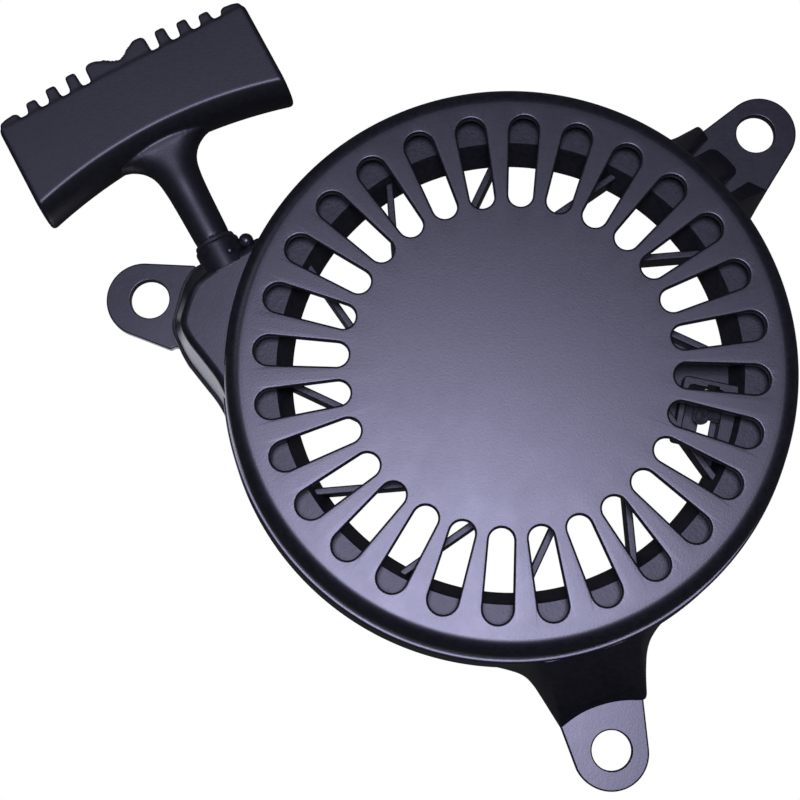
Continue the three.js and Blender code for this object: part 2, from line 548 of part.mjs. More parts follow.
// comb on the palm side: ribs that get taller towards the middle, a saddle between the two lumps
const RIBS = [[16.3, 69.8], [23.9, 69], [31.5, 67.9]];
const ribDepth = GRIP_THICK - 0.2;
const ribRoot = COMB_BASE - 3;
const rib = ([b, top]) => prism([
  [ribRoot, b - 2.6], [COMB_BASE, b - 2.6], [COMB_BASE + 1, b - 2.1], [top - 0.8, b - 1.9], [top, b - 1.2],
  [top, b + 1.2], [top - 0.8, b + 1.9], [COMB_BASE + 1, b + 2.1], [COMB_BASE, b + 2.6], [ribRoot, b + 2.6],
], -ribDepth, ribDepth);
const endBlock = prism([
  [ribRoot, 36.5], [65.4, 36.8], [66.4, 37.9], [66.2, 41], [65.6, 43.2], [64.6, 44.2], [ribRoot, 44.4],
], -ribDepth, ribDepth);
const saddle = prism([
  [ribRoot, -11.2], [69.2, -10.9], [70.1, -10.2], [70.4, -8.5], [70.3, -6.7], [68.9, -4.7], [67.1, -2.7],
  [66.3, -0.9], [66.5, 0.8], [67.6, 2.8], [69, 4.8], [70, 6.8], [70.3, 8.5], [70, 10.2], [69, 10.9],
  [ribRoot, 11.2],
], -ribDepth, ribDepth);
const comb = RIBS.flatMap(([b, top]) => [rib([b, top]), rib([-b, top])]);
const knotRoom = cylinder(0, 0, 6, 50, 80, 20).rotate([0, 90, 0]);
const ropeBore = cylinder(0, 0, 2.7, 0, 60, 14).rotate([0, 90, 0]);
const grip = union([bar, stem, saddle, endBlock, endBlock.mirror([0, 1, 0]), ...comb])
  .subtract(knotRoom.add(ropeBore));
place(gripBody, 'grip', alongPull(grip), gripBlack);
place(gripBody, 'grip_insert', onPullLine(lathe([
  [2.6, 50.3], [5.7, 50.3], [5.7, 53.6], [4.4, 53.6], [3.4, 51.8], [2.6, 51.8],
], 28)), zincSteel);
const gripKnot = knot.scale([1, 1, 0.95]).translate([0, 0, 58.2]).add(cylinder(0, 0, ROPE_R, 1.6, 57, 12));
place(gripBody, 'rope_grip_end', onPullLine(gripKnot), ropeBlack);

export default starter;
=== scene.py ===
"""Recoil starter: slotted housing on three ears, spoked rope reel, pawls, guide plate and T grip."""
import math

import bmesh
import bpy
import numpy as np
from mathutils import Matrix, Vector


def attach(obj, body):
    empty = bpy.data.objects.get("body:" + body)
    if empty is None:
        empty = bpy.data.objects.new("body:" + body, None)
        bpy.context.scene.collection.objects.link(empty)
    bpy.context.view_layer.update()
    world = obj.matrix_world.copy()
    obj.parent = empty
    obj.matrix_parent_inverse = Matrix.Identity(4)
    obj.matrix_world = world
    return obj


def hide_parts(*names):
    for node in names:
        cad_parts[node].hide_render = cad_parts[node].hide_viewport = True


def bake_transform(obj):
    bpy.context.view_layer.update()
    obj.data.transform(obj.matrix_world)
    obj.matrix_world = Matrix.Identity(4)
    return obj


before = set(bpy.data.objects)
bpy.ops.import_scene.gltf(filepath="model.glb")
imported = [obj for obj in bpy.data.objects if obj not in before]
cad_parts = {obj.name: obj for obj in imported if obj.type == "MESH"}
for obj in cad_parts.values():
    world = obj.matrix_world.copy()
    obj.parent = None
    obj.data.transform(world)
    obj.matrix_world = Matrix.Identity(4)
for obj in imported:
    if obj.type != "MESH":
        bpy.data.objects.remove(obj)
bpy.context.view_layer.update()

MM = 0.001
TAU = 2 * math.pi

# ------------------------------------------------------------------ dimensions, in millimetres
HEIGHT = 50
WALL = 3
PLATE_LOW = HEIGHT - WALL
SKIRT_Z, SKIRT_R = 15, 93.7
LEDGE_Z = 33
SLOT_COUNT, SLOT_FIRST = 28, 9.27
SLOT_INNER, SLOT_OUTER = (55.2, 3.95), (76.45, 4.65)
# ears: direction, hole radius from the axis, centre and radius of the round end in the ear's own frame
EARS = (
    (165.6, 125.2, (127.2, 0.7), 12.8),
    (45.6, 124.7, (125.9, -0.8), 12.5),
    (285.8, 125.2, (125.8, -0.5), 12.6),
)
HOLE_R, EAR_THICK = 6.6, 3.6
ROPE_Z, ROPE_R = 34.6, 2.2
ROPE_BRAID = 0.12
PULL_DEG = 118.2
OUTLET = (-95.5, 43.0)
BOSS_R = 7.5
REEL_R, REEL_TOP, REEL_BOTTOM, FLANGE = 86.5, 41, 28, 1.4
RIM_TOP_R, RIM_LOW_R = 74.2, 70.2
SPOKES, SPOKE_TANGENT_R, SPOKE_FIRST, SPOKE_THICK, SPOKE_TOP = 12, 33.5, 64.7, 2.4, 37.5
CUP_R, CUP_FLOOR, HUB_LOW = 43.5, 30, 27.5
SLEEVE_R = 8.7
KNOT_DEG = 348
PIVOT_R, PAWL_ANGLES, PEG_ARM = 24, (40, 220), 8
GUIDE_SWING, PAWL_SWING = 30, 40
GRIP_HALF, GRIP_THICK, COMB_BASE = 44.9, 11.3, 64.3
WIND_R = 79.6


# ------------------------------------------------------------------ modelling helpers
def polar(r, deg):
    return (r * math.cos(math.radians(deg)), r * math.sin(math.radians(deg)))


def arc(cx, cy, rx, ry, start, stop, count):
    """Points on an elliptical arc."""
    steps = np.linspace(math.radians(start), math.radians(stop), count)
    return [(cx + rx * math.cos(a), cy + ry * math.sin(a)) for a in steps]


def circle(r, count=96, cx=0.0, cy=0.0):
    return [(cx + r * math.cos(TAU * i / count), cy + r * math.sin(TAU * i / count)) for i in range(count)]


def new_object(name, vertices, faces, scale=MM):
    mesh = bpy.data.meshes.new(name)
    mesh.from_pydata([tuple(scale * c for c in v) for v in vertices], [], faces)
    mesh.validate()
    obj = bpy.data.objects.new(name, mesh)
    bpy.context.scene.collection.objects.link(obj)
    return obj


def outward(obj):
    """Makes a closed mesh's faces point out."""
    work = bmesh.new()
    work.from_mesh(obj.data)
    bmesh.ops.remove_doubles(work, verts=work.verts, dist=1e-7)
    bmesh.ops.recalc_face_normals(work, faces=work.faces)
    if work.calc_volume(signed=True) < 0:
        bmesh.ops.reverse_faces(work, faces=work.faces)
    work.to_mesh(obj.data)
    work.free()
    return obj


def lathe(name, profile, count=240):
    """Solid of revolution about Z; the profile closes on itself or starts and ends on the axis."""
    on_axis = profile[0][0] == 0
    vertices, faces = [], []
    for i in range(count):
        c, s = math.cos(TAU * i / count), math.sin(TAU * i / count)
        vertices += [(r * c, r * s, z) for r, z in profile]
    n = len(profile)
    pairs = [(j, j + 1) for j in range(n - 1)] + ([] if on_axis else [(n - 1, 0)])
    for i in range(count):
        a, b = i * n, ((i + 1) % count) * n
        faces += [(a + j, b + j, b + k, a + k) for j, k in pairs]
    return outward(new_object(name, vertices, faces))


def loft(name, sections):
    """Closed solid through outlines of equal length, each given as (outline, z)."""
    n = len(sections[0][0])
    vertices = [(x, y, z) for outline, z in sections for x, y in outline]
    faces = [tuple(range(n))[::-1], tuple(range((len(sections) - 1) * n, len(sections) * n))]
    for s in range(len(sections) - 1):
        a, b = s * n, (s + 1) * n
        faces += [(a + i, a + (i + 1) % n, b + (i + 1) % n, b + i) for i in range(n)]
    return outward(new_object(name, vertices, faces))


def counter_clockwise(outline):
    area = sum(x0 * y1 - x1 * y0 for (x0, y0), (x1, y1) in zip(outline, outline[1:] + outline[:1]))
    return outline if area > 0 else outline[::-1]


def offset(outline, distance):
    """Moves a counter-clockwise outline inwards by a small distance."""
    p = np.array(outline, float)
    before, after = p - np.roll(p, 1, 0), np.roll(p, -1, 0) - p
    before /= np.linalg.norm(before, axis=1)[:, None]
    after /= np.linalg.norm(after, axis=1)[:, None]
    inward = np.stack([-(before + after)[:, 1], (before + after)[:, 0]], 1)
    inward /= np.linalg.norm(inward, axis=1)[:, None]
    spread = np.sqrt(np.clip((1 + (before * after).sum(1)) / 2, 0.3, 1))
    return [tuple(q) for q in p + inward * (distance / spread)[:, None]]


def rounded(outline, radius, steps=6):
    """Replaces every corner of a closed outline with an arc."""
    out = []
    count = len(outline)
    radii = radius if isinstance(radius, (list, tuple)) else [radius] * count
    for i in range(count):
        a, b, c = (Vector(outline[(i + k - 1) % count]) for k in range(3))
        u, v = (a - b), (c - b)
        reach = min(radii[i], 0.48 * u.length, 0.48 * v.length)
        p, q = b + u.normalized() * reach, b + v.normalized() * reach
        for k in range(steps + 1):
            t = k / steps
            out.append(tuple((1 - t) ** 2 * p + 2 * t * (1 - t) * b + t ** 2 * q))
    return out


def soft_prism(name, outline, low, high, top=0.0, bottom=0.0, steps=4):
    """Prism whose top and bottom edges are rounded."""
    outline = counter_clockwise(list(outline))
    turns = [math.pi / 2 * k / steps for k in range(steps + 1)]
    sections = [] if bottom else [(outline, low)]
    for a in turns if bottom else ():
        sections.append((offset(outline, bottom * (1 - math.sin(a))), low + bottom * (1 - math.cos(a))))
    for a in turns if top else ():
        sections.append((offset(outline, top * (1 - math.cos(a))), high - top * (1 - math.sin(a))))
    if not top:
        sections.append((outline, high))
    return loft(name, sections)


def flared(name, outline, low, high, top=0.0, bottom=0.0, steps=4, over=1.0):
    """Cutter that leaves rounded edges where it comes out of the faces at low and high."""
    outline = counter_clockwise(list(outline))
    turns = [math.pi / 2 * k / steps for k in range(steps + 1)]
    sections = [(offset(outline, -bottom) if bottom else outline, low - over)]
    for a in turns if bottom else ():
        sections.append((offset(outline, -bottom * (1 - math.sin(a))), low + bottom * (1 - math.cos(a))))
    for a in turns if top else ():
        sections.append((offset(outline, -top * (1 - math.cos(a))), high - top * (1 - math.sin(a))))
    sections.append((offset(outline, -top) if top else outline, high + over))
    return loft(name, sections)


def turn(obj, deg, axis="Z"):
    obj.data.transform(Matrix.Rotation(math.radians(deg), 4, axis))
    return obj


def move(obj, x=0.0, y=0.0, z=0.0):
    obj.data.transform(Matrix.Translation((MM * x, MM * y, MM * z)))
    return obj


def join(objs):
    """One object out of several that don't touch."""
    with bpy.context.temp_override(active_object=objs[0], selected_editable_objects=objs):
        bpy.ops.object.join()
    return objs[0]


def settle(obj):
    """Applies the object's modifiers."""
    graph = bpy.context.evaluated_depsgraph_get()
    mesh = bpy.data.meshes.new_from_object(obj.evaluated_get(graph))
    old = obj.data
    obj.modifiers.clear()
    obj.data = mesh
    bpy.data.meshes.remove(old)
    return obj


def combine(obj, others, operation):
    for other in others:
        step = obj.modifiers.new("boolean", "BOOLEAN")
        step.operation = operation
        step.object = other
        step.solver = "MANIFOLD"
        settle(obj)
        bpy.data.objects.remove(other)
    return obj


def add(obj, *others):
    return combine(obj, others, "UNION")


def cut(obj, *others):
    return combine(obj, others, "DIFFERENCE")


def keep(obj, *others):
    return combine(obj, others, "INTERSECT")


def around(make, count, first=0.0):
    """Copies of a piece in a ring about Z, as one object."""
    return join([turn(make(), first + 360 * i / count) for i in range(count)])


def shade(obj, angle=32):
    """Smooth shading that keeps the real edges sharp."""
    for polygon in obj.data.polygons:
        polygon.use_smooth = True
    with bpy.context.temp_override(object=obj, active_object=obj, selected_objects=[obj],
                                   selected_editable_objects=[obj]):
        bpy.ops.object.shade_smooth_by_angle(angle=math.radians(angle))
    return obj


def piece(obj, name, body, material, slot, *nodes, angle=32):
    """Names a finished piece, gives it its material and its body, and lets it stand for its CAD nodes."""
    obj.name = name
    obj.data.name = name
    obj.data.materials.clear()
    obj.data.materials.append(material)
    shade(obj, angle)
    weighted = obj.modifiers.new("weighted", "WEIGHTED_NORMAL")
    weighted.keep_sharp = True
    weighted.weight = 90
    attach(obj, body)
    if nodes:
        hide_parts(*nodes)
    return obj


PULL = Matrix.Translation((MM * OUTLET[0], MM * OUTLET[1], MM * ROPE_Z)) @ Matrix.Rotation(
    math.radians(PULL_DEG), 4, "Z")


def along_pull(obj):
    """From the grip's own frame (X along the pull, Y along the T) to the row frame."""
    obj.data.transform(PULL)
    return obj


def on_pull_line(obj):
    """Lays a solid that stands on Z along the pull line."""
    return along_pull(turn(obj, 90, "Y"))


def blend_outlines(low, high, t):
    return [(a[0] + t * (b[0] - a[0]), a[1] + t * (b[1] - a[1])) for a, b in zip(low, high)]


# ------------------------------------------------------------------ materials
def node_material(name):
    material = bpy.data.materials.new(name)
    material.use_nodes = True
    nodes = material.node_tree.nodes
    return material, nodes, material.node_tree.links, nodes["Principled BSDF"]


def noise(nodes, links, scale, detail=4.0, rough=0.55):
    place = nodes.new("ShaderNodeTexCoord")
    texture = nodes.new("ShaderNodeTexNoise")
    texture.inputs["Scale"].default_value = scale
    texture.inputs["Detail"].default_value = detail
    texture.inputs["Roughness"].default_value = rough
    links.new(place.outputs["Object"], texture.inputs["Vector"])
    return texture.outputs["Fac"]


def ramp(nodes, links, source, stops):
    node = nodes.new("ShaderNodeValToRGB")
    first, last = node.color_ramp.elements
    first.position, first.color = stops[0][0], (*stops[0][1], 1)
    last.position, last.color = stops[-1][0], (*stops[-1][1], 1)
    for position, colour in stops[1:-1]:
        node.color_ramp.elements.new(position).color = (*colour, 1)
    links.new(source, node.inputs["Fac"])
    return node.outputs["Color"]


def span(nodes, links, source, low, high):
    node = nodes.new("ShaderNodeMapRange")
    node.inputs["From Min"].default_value = 0.3
    node.inputs["From Max"].default_value = 0.7
    node.inputs["To Min"].default_value = low
    node.inputs["To Max"].default_value = high
    links.new(source, node.inputs["Value"])
    return node.outputs["Result"]


def bump(nodes, links, source, strength, depth, normal=None):
    node = nodes.new("ShaderNodeBump")
    node.inputs["Strength"].default_value = strength
    node.inputs["Distance"].default_value = depth
    links.new(source, node.inputs["Height"])
    if normal:
        links.new(normal, node.inputs["Normal"])
    return node.outputs["Normal"]


def moulded(name, dark, light, rough, grain, grain_depth, ior=1.5, wave_depth=0.00001):
    """Moulded plastic: a fine grain, slow waves, patches of different gloss and a dusting in the colour."""
    material, nodes, links, shader = node_material(name)
    patches = noise(nodes, links, 60, 6, 0.7)
    speckle = noise(nodes, links, 520, 3, 0.7)
    fine = noise(nodes, links, grain, 3, 0.7)
    slow = noise(nodes, links, 14, 2, 0.4)
    links.new(ramp(nodes, links, speckle, [(0.3, dark), (0.7, light)]), shader.inputs["Base Color"])
    links.new(span(nodes, links, patches, rough - 0.015, rough + 0.02), shader.inputs["Roughness"])
    grained = bump(nodes, links, fine, 0.5, grain_depth)
    links.new(bump(nodes, links, slow, 0.4, wave_depth, grained), shader.inputs["Normal"])
    shader.inputs["IOR"].default_value = ior
    return material


def near(nodes, links, source, centre, half):
    """1 within a quarter of a band's width from its centre, falling smoothly to 0 at its edge."""
    away = nodes.new("ShaderNodeMath")
    away.operation = "SUBTRACT"
    away.inputs[1].default_value = centre
    links.new(source, away.inputs[0])
    size = nodes.new("ShaderNodeMath")
    size.operation = "ABSOLUTE"
    links.new(away.outputs[0], size.inputs[0])
    node = nodes.new("ShaderNodeMapRange")
    node.interpolation_type = "SMOOTHSTEP"
    node.inputs["From Min"].default_value = 0.5 * half
    node.inputs["From Max"].default_value = half
    node.inputs["To Min"].default_value = 1
    node.inputs["To Max"].default_value = 0
    links.new(size.outputs[0], node.inputs["Value"])
    return node.outputs["Result"]


def paint_ledge_highlight(material, radius, height, half, tone):
    """Painted highlight: the step round the skirt is painted a lighter tone, unevenly, standing in for the
    softbox's reflection along its edge.
    """
    nodes, links = material.node_tree.nodes, material.node_tree.links
    shader = nodes["Principled BSDF"]
    place = nodes.new("ShaderNodeTexCoord")
    flat = nodes.new("ShaderNodeVectorMath")
    flat.operation = "MULTIPLY"
    flat.inputs[1].default_value = (1, 1, 0)
    links.new(place.outputs["Object"], flat.inputs[0])
    length = nodes.new("ShaderNodeVectorMath")
    length.operation = "LENGTH"
    links.new(flat.outputs["Vector"], length.inputs[0])
    split = nodes.new("ShaderNodeSeparateXYZ")
    links.new(place.outputs["Object"], split.inputs["Vector"])
    both = nodes.new("ShaderNodeMath")
    both.operation = "MULTIPLY"
    links.new(near(nodes, links, length.outputs["Value"], radius, half), both.inputs[0])
    links.new(near(nodes, links, split.outputs["Z"], height, 2 * half), both.inputs[1])
    uneven = nodes.new("ShaderNodeMath")
    uneven.operation = "MULTIPLY"
    links.new(both.outputs[0], uneven.inputs[0])
    links.new(span(nodes, links, noise(nodes, links, 70, 3, 0.6), 0.7, 1.0), uneven.inputs[1])
    mix = nodes.new("ShaderNodeMix")
    mix.data_type = "RGBA"
    links.new(uneven.outputs[0], mix.inputs["Factor"])
    links.new(shader.inputs["Base Color"].links[0].from_socket, mix.inputs["A"])
    mix.inputs["B"].default_value = (*tone, 1)
    links.new(mix.outputs["Result"], shader.inputs["Base Color"])


def steel(name, dark, light, rough, grain=900):
    """Plated or tempered steel with a faint directional grain and cloudy gloss."""
    material, nodes, links, shader = node_material(name)
    cloud = noise(nodes, links, 90, 4, 0.6)
    fine = noise(nodes, links, grain, 2, 0.6)
    links.new(ramp(nodes, links, cloud, [(0.3, dark), (0.7, light)]), shader.inputs["Base Color"])
    links.new(span(nodes, links, cloud, rough - 0.08, rough + 0.1), shader.inputs["Roughness"])
    links.new(bump(nodes, links, fine, 0.35, 0.00002), shader.inputs["Normal"])
    shader.inputs["Metallic"].default_value = 1.0
    return material


housing_black = moulded("housing_black", (0.006, 0.006, 0.007), (0.014, 0.014, 0.016),
                        rough=0.32, grain=1500, grain_depth=0.00004)
# painted highlight: a light grey band painted round the ledge of the skirt
paint_ledge_highlight(housing_black, radius=0.09155, height=0.0333, half=0.0006, tone=(0.45, 0.45, 0.47))
reel_grey = moulded("reel_grey", (0.008, 0.008, 0.009), (0.020, 0.020, 0.023),
                    rough=0.37, grain=900, grain_depth=0.00010, ior=1.33)
grip_black = moulded("grip_black", (0.007, 0.007, 0.008), (0.012, 0.012, 0.013),
                     rough=0.40, grain=1300, grain_depth=0.00005, ior=1.46)
nylon_black = moulded("nylon_black", (0.012, 0.012, 0.013), (0.02, 0.02, 0.022),
                      rough=0.38, grain=1500, grain_depth=0.00002)
zinc_steel = steel("zinc_steel", (0.42, 0.43, 0.44), (0.6, 0.6, 0.6), rough=0.34)
spring_steel = steel("spring_steel", (0.12, 0.13, 0.16), (0.24, 0.25, 0.29), rough=0.3)


def rope_material():
    """Braided synthetic rope: fine yarns over the woven strands, in near black."""
    material, nodes, links, shader = node_material("rope_black")
    yarn = noise(nodes, links, 2600, 2, 0.6)
    tone = noise(nodes, links, 420, 3, 0.6)
    links.new(ramp(nodes, links, tone, [(0.3, (0.012, 0.012, 0.013)), (0.7, (0.032, 0.032, 0.035))]),
              shader.inputs["Base Color"])
    links.new(bump(nodes, links, yarn, 0.6, 0.00006), shader.inputs["Normal"])
    shader.inputs["Roughness"].default_value = 0.78
    shader.inputs["Sheen Weight"].default_value = 0.25
    shader.inputs["Sheen Roughness"].default_value = 0.4
    return material


rope_black = rope_material()


# ------------------------------------------------------------------ housing
EAR_ROOTS = (
    ([(106, 13), (112.4, 14), (113.6, 15.2)], [(113.4, -15.2), (112.4, -14.4), (106, -13)]),
    ([(98, 16), (106, 15), (113.2, 13.6)], [(116.4, -15.7), (106, -18.1), (98, -20.2)]),
    ([(97, 20.4), (104.4, 17.8), (112.2, 14.8)], [(113.7, -14), (104, -16.8), (97, -18.9)]),
)


def ear_outline(i):
    _, _, (x, y), radius = EARS[i]
    front, back = EAR_ROOTS[i]
    return front + arc(x, y, radius, radius, 80, -80, 41) + back


# gussets between ear and skirt: a low outline on the pad and a high one under the ledge
LOWER_LEG = (
    [(84, -36), (87.5, -31.5), (89, -28.6), (91, -25.1), (93, -22), (95.1, -20), (99, -18.2), (106, -16.2),
     (113.7, -14), (111.3, -8.1), (110.2, -2.3), (110.1, 4.6), (111, 10), (112.2, 13.8), (112.2, 15.6),
     (110.8, 16.4), (104.4, 18), (98, 20.2), (94.1, 22.5), (90, 27.2), (87.2, 34.3), (84, 40)],
    [(84, -30), (85.5, -29), (86.5, -27), (88, -24), (89.3, -21.5), (90.3, -19.5), (90.8, -18),
     (91.3, -15.5), (91.8, -13.5), (92.3, -8), (92.6, -2.3), (92.6, 4.6), (92.2, 10), (91.6, 13.6),
     (91.4, 15), (91, 16), (90.5, 17.5), (89.8, 19.5), (89, 22), (87, 26), (85.5, 30), (84, 33)],
)
LOWER_CORNERS = [0.5, 3, 3, 3, 3, 3, 3, 3, 0.7, 3, 3, 3, 3, 0.9, 0.9, 0.7, 3, 3, 3, 3, 3, 0.5]
LOWER_HOLLOW = (
    [(84, -22), (90, -19.5), (96, -16), (101, -14.6), (108.4, -12.4), (107.6, -4), (107.4, 5),
     (108.6, 12.4), (101, 15.4), (96, 17.2), (90, 19.5), (84, 22)],
    [(84, -20), (85, -18), (86, -16), (87, -14), (88.4, -11.4), (89, -4), (89, 5), (88.4, 11.4),
     (87, 14.6), (86, 16), (85, 18), (84, 20)],
)
RIGHT_RIBS = (
    ([(84, 10), (112, 10.4), (113, 14.4), (112.8, 16.1), (104.7, 18.6), (96, 21.5), (84, 26)],
     [(84, 10), (91.4, 10.2), (91.6, 13.4), (91.4, 14.4), (90.6, 17.6), (88.8, 20), (84, 22)]),
    ([(84, -4.9), (109.4, -4.9), (110.9, -3.6), (111.4, 1.6), (111.2, 5.6), (109.6, 7.8), (84, 7.8)],
     [(84, -4.6), (92, -4.6), (92.4, -3.4), (92.5, 1.6), (92.4, 5.4), (92, 7.5), (84, 7.5)]),
    ([(84, -29), (90, -25), (96.5, -20.6), (102.1, -19), (112.6, -16.4), (110.4, -9.6), (84, -8.8)],
     [(84, -26), (87, -22.6), (89.6, -19), (90.4, -17), (91.3, -14), (91.8, -9.4), (84, -8.8)]),
)


def gusset(low, high, corners, low_z=0.0, top_z=LEDGE_Z - 0.8, foot=EAR_THICK):
    """Stands straight through the pad, then leans in from the low outline to the high one."""
    low, high = (rounded(o, corners, 4) for o in (low, high))
    sections = [(low, low_z), (low, foot)]
    for t in (0.12, 0.4, 0.7, 1.0):
        sections.append((blend_outlines(low, high, t), foot + t * (top_z - foot)))
    return loft("gusset", sections)


SNOUT_TOP = [(-70, 30), (-84, -28), (-92.6, -4.4), (-99, 3.9), (-103.6, 9.6), (-106.1, 14.2),
             (-106.4, 17.4), (-103.9, 25.2), (-101, 30.2), (-92.5, 36.4), (-80.5, 43.4)]
SNOUT_LOW = [(-70, 30), (-84, -36), (-94.2, -8.9), (-101.2, -0.3), (-107, 7), (-111.4, 16.6),
             (-111.6, 21.4), (-108.2, 34.2), (-104.6, 39.4), (-95, 43.4), (-81.5, 50.2)]
SNOUT_FOOT = [(-70, 30), (-84, -36), (-94.2, -8.9), (-101.2, -0.3), (-108.6, 8.8), (-112.6, 18.4),
              (-112.2, 24), (-109.2, 36.2), (-105.6, 41.4), (-95, 43.8), (-81.5, 50.2)]
SNOUT_CORNERS = [1, 1, 8, 5, 4, 3, 3, 3, 3, 3, 3]
SNOUT_Z, LIP_Z, SNOUT_ROUND = 40.4, 17.2, 2.8
# the lip round the snout's foot: how far each step is set in, and its height
SNOUT_LIP = ((0.3, SKIRT_Z), (0, SKIRT_Z + 0.3), (0, LIP_Z - 0.5), (0.15, LIP_Z - 0.15), (0.5, LIP_Z),
             (1.05, LIP_Z + 0.1), (1.2, LIP_Z + 0.5))
# the snout's top falls outwards from a radius, and the fall fades out short of the outlet; in metres
FALL_START_R, FALL_RATE, FALL_ABOVE, FALL_END_Y, FALL_FADE = 0.089, 0.12, 0.030, 0.028, 0.012


def snout_outline(points):
    return counter_clockwise(rounded(points, SNOUT_CORNERS, 6))


def snout(low, top):
    """The bulge that the rope leaves through: a lip round its foot and a softly rounded top edge."""
    sections = [(offset(low, inset), z) for inset, z in SNOUT_LIP]
    for k in range(9):
        a = math.pi / 2 * k / 8
        edge = offset(top, SNOUT_ROUND * (1 - math.cos(a)))
        sections.append((edge, SNOUT_Z - SNOUT_ROUND * (1 - math.sin(a))))
    bulge = loft("snout", sections)
    for vertex in bulge.data.vertices:
        out = math.hypot(vertex.co.x, vertex.co.y) - FALL_START_R
        if vertex.co.z > FALL_ABOVE and out > 0:
            vertex.co.z -= FALL_RATE * out * min(1, max(0, (FALL_END_Y - vertex.co.y) / FALL_FADE))
    return bulge


def slot_outline():
    (r0, h0), (r1, h1) = SLOT_INNER, SLOT_OUTER
    lean = math.degrees(math.asin((h1 - h0) / (r1 - r0)))
    return arc(r1, 0, h1, h1, -90 - lean, 90 + lean, 17) + arc(r0, 0, h0, h0, 90 + lean, 270 - lean, 17)


def block(x0, x1, y0, y1, low, high):
    return loft("block", [([(x0, y0), (x1, y0), (x1, y1), (x0, y1)], z) for z in (low, high)])


LEDGE_STEP = [(91.25, 34.2), (91.3, 33.6), (91.42, 33.25), (91.6, 33.1), (92.2, 33.05), (92.45, 32.9),
              (92.6, 32.6), (92.66, 32.2)]
BORE_R = 5.6


def outer_drum():
    """Flat plate, rounded shoulder, the ledge and the slightly flared skirt."""
    plate = [(0, HEIGHT), (40, HEIGHT), (84, HEIGHT)] + arc(85.4, 44.4, 5.4, 5.6, 90, 0, 14)
    skirt = [(SKIRT_R, 15.5), (SKIRT_R - 0.1, 15.2), (SKIRT_R - 0.4, SKIRT_Z), (0, SKIRT_Z)]
    return lathe("drum", plate + LEDGE_STEP + skirt, 288)


def drum_hollow():
    return lathe("chamber", [
        (0, PLATE_LOW), (85.4, PLATE_LOW), (88, PLATE_LOW - 2.6), (88.7, LEDGE_Z + 0.6),
        (89.8, LEDGE_Z - 0.6), (SKIRT_R - 2.6, SKIRT_Z + 0.3), (SKIRT_R - 2.3, SKIRT_Z), (SKIRT_R - 2.3, -1),
        (0, -1)], 288)


def outlet_boss():
    """The round boss that faces along the pull, then the small rib and the dot beside it."""
    edge = arc(BOSS_R - 1.2, -1.6, 1.2, 1.2, 0, 90, 6)
    boss = on_pull_line(lathe("boss", [(0, -10), (BOSS_R, -10), (BOSS_R, -1.6)] + edge + [(0, -0.4)], 96))
    rib = lathe("rib", [(0, -12), (2.4, -12), (2.4, 2.6)] + arc(0, 2.6, 2.4, 2.0, 0, 90, 8), 32)
    dot = lathe("dot", [(0, -2), (1.2, -2)] + arc(0, 0, 1.2, 0.8, 0, 90, 6), 24)
    return boss, along_pull(move(rib, -4.6, -9.2)), along_pull(move(dot, -6.1, -2.9, 6.9))


def snout_parts():
    """The snout and its leg, then what is hollowed out of each."""
    low, foot, top = (snout_outline(points) for points in (SNOUT_LOW, SNOUT_FOOT, SNOUT_TOP))
    leg = keep(loft("snout_leg", [(foot, 0), (low, SKIRT_Z + 1)]),
               block(-120, -88, 7.6, 46, -1, SKIRT_Z + 2))
    hollow = loft("snout_hollow", [(offset(low, 2.6), SKIRT_Z - 1), (offset(top, 2.8), SNOUT_Z - WALL)])
    foot_hollow = keep(loft("foot_hollow", [(offset(foot, 2.6), -1), (offset(low, 2.6), SKIRT_Z + 1)]),
                       block(-120, -86, 10.4, 38, -2, SKIRT_Z + 3))
    return (snout(low, top), leg), (hollow, foot_hollow)


def ear_pad(i):
    pad = soft_prism("pad", rounded(ear_outline(i), 0.6, 3), 0, EAR_THICK, top=0.6, bottom=0.3)
    return turn(pad, EARS[i][0])


def leg_hollow():
    """The lower leg is hollow below, up to the skirt's wall."""
    hollow = gusset(*LOWER_HOLLOW, 2.0, -1, LEDGE_Z - 4, EAR_THICK - 1)
    cut(hollow, loft("skirt", [(circle(SKIRT_R, 240, -0.5), z) for z in (SKIRT_Z, HEIGHT)]))
    return turn(hollow, EARS[2][0])


def rope_bore():
    """Through the boss, narrower at its inner end."""
    rows = ((4.4, -14), (5.45, -11.8), (BORE_R, -9), (BORE_R, 0))
    return on_pull_line(loft("bore", [(circle(r, 64), a) for r, a in rows]))


def bearing_post():
    return lathe("post", [
        (0, PLATE_LOW + 1), (16.5, PLATE_LOW + 1), (16, PLATE_LOW), (12, PLATE_LOW - 0.6),
        (10.3, PLATE_LOW - 2.2), (10, PLATE_LOW - 4), (10, 30.9), (9.5, 30.4), (7, 30.4), (7, 15),
        (6.5, 14.5), (0, 14.5)], 96)


def build_housing():
    drum = outer_drum()
    solids, hollows = snout_parts()
    add(drum, *solids, *outlet_boss())
    for i in range(len(EARS)):
        add(drum, ear_pad(i))
    add(drum, turn(gusset(*LOWER_LEG, LOWER_CORNERS), EARS[2][0]))
    for low_side, high_side in RIGHT_RIBS:
        add(drum, turn(gusset(low_side, high_side, 0.8), EARS[1][0]))
    cut(drum, drum_hollow(), *hollows, leg_hollow())
    cut(drum, rope_bore())
    slot = counter_clockwise(slot_outline())
    cut(drum, around(lambda: flared("slot", slot, PLATE_LOW, HEIGHT, top=0.75, bottom=0.3),
                     SLOT_COUNT, SLOT_FIRST))
    for angle, hole_r, _, _ in EARS:
        cut(drum, turn(flared("hole", circle(HOLE_R, 72, hole_r), 0, EAR_THICK, top=0.5, bottom=0.3), angle))
    add(drum, bearing_post())
    screw_hole = loft("screw_hole", [(circle(3.1, 32), 14), (circle(3.1, 32), 33)])
    cut(drum, screw_hole, block(-0.6, 1.2, 4, 12, 29.4, 44.5))
    return drum


piece(build_housing(), "housing_shell", "housing", housing_black, "housing_black", "housing", angle=28)


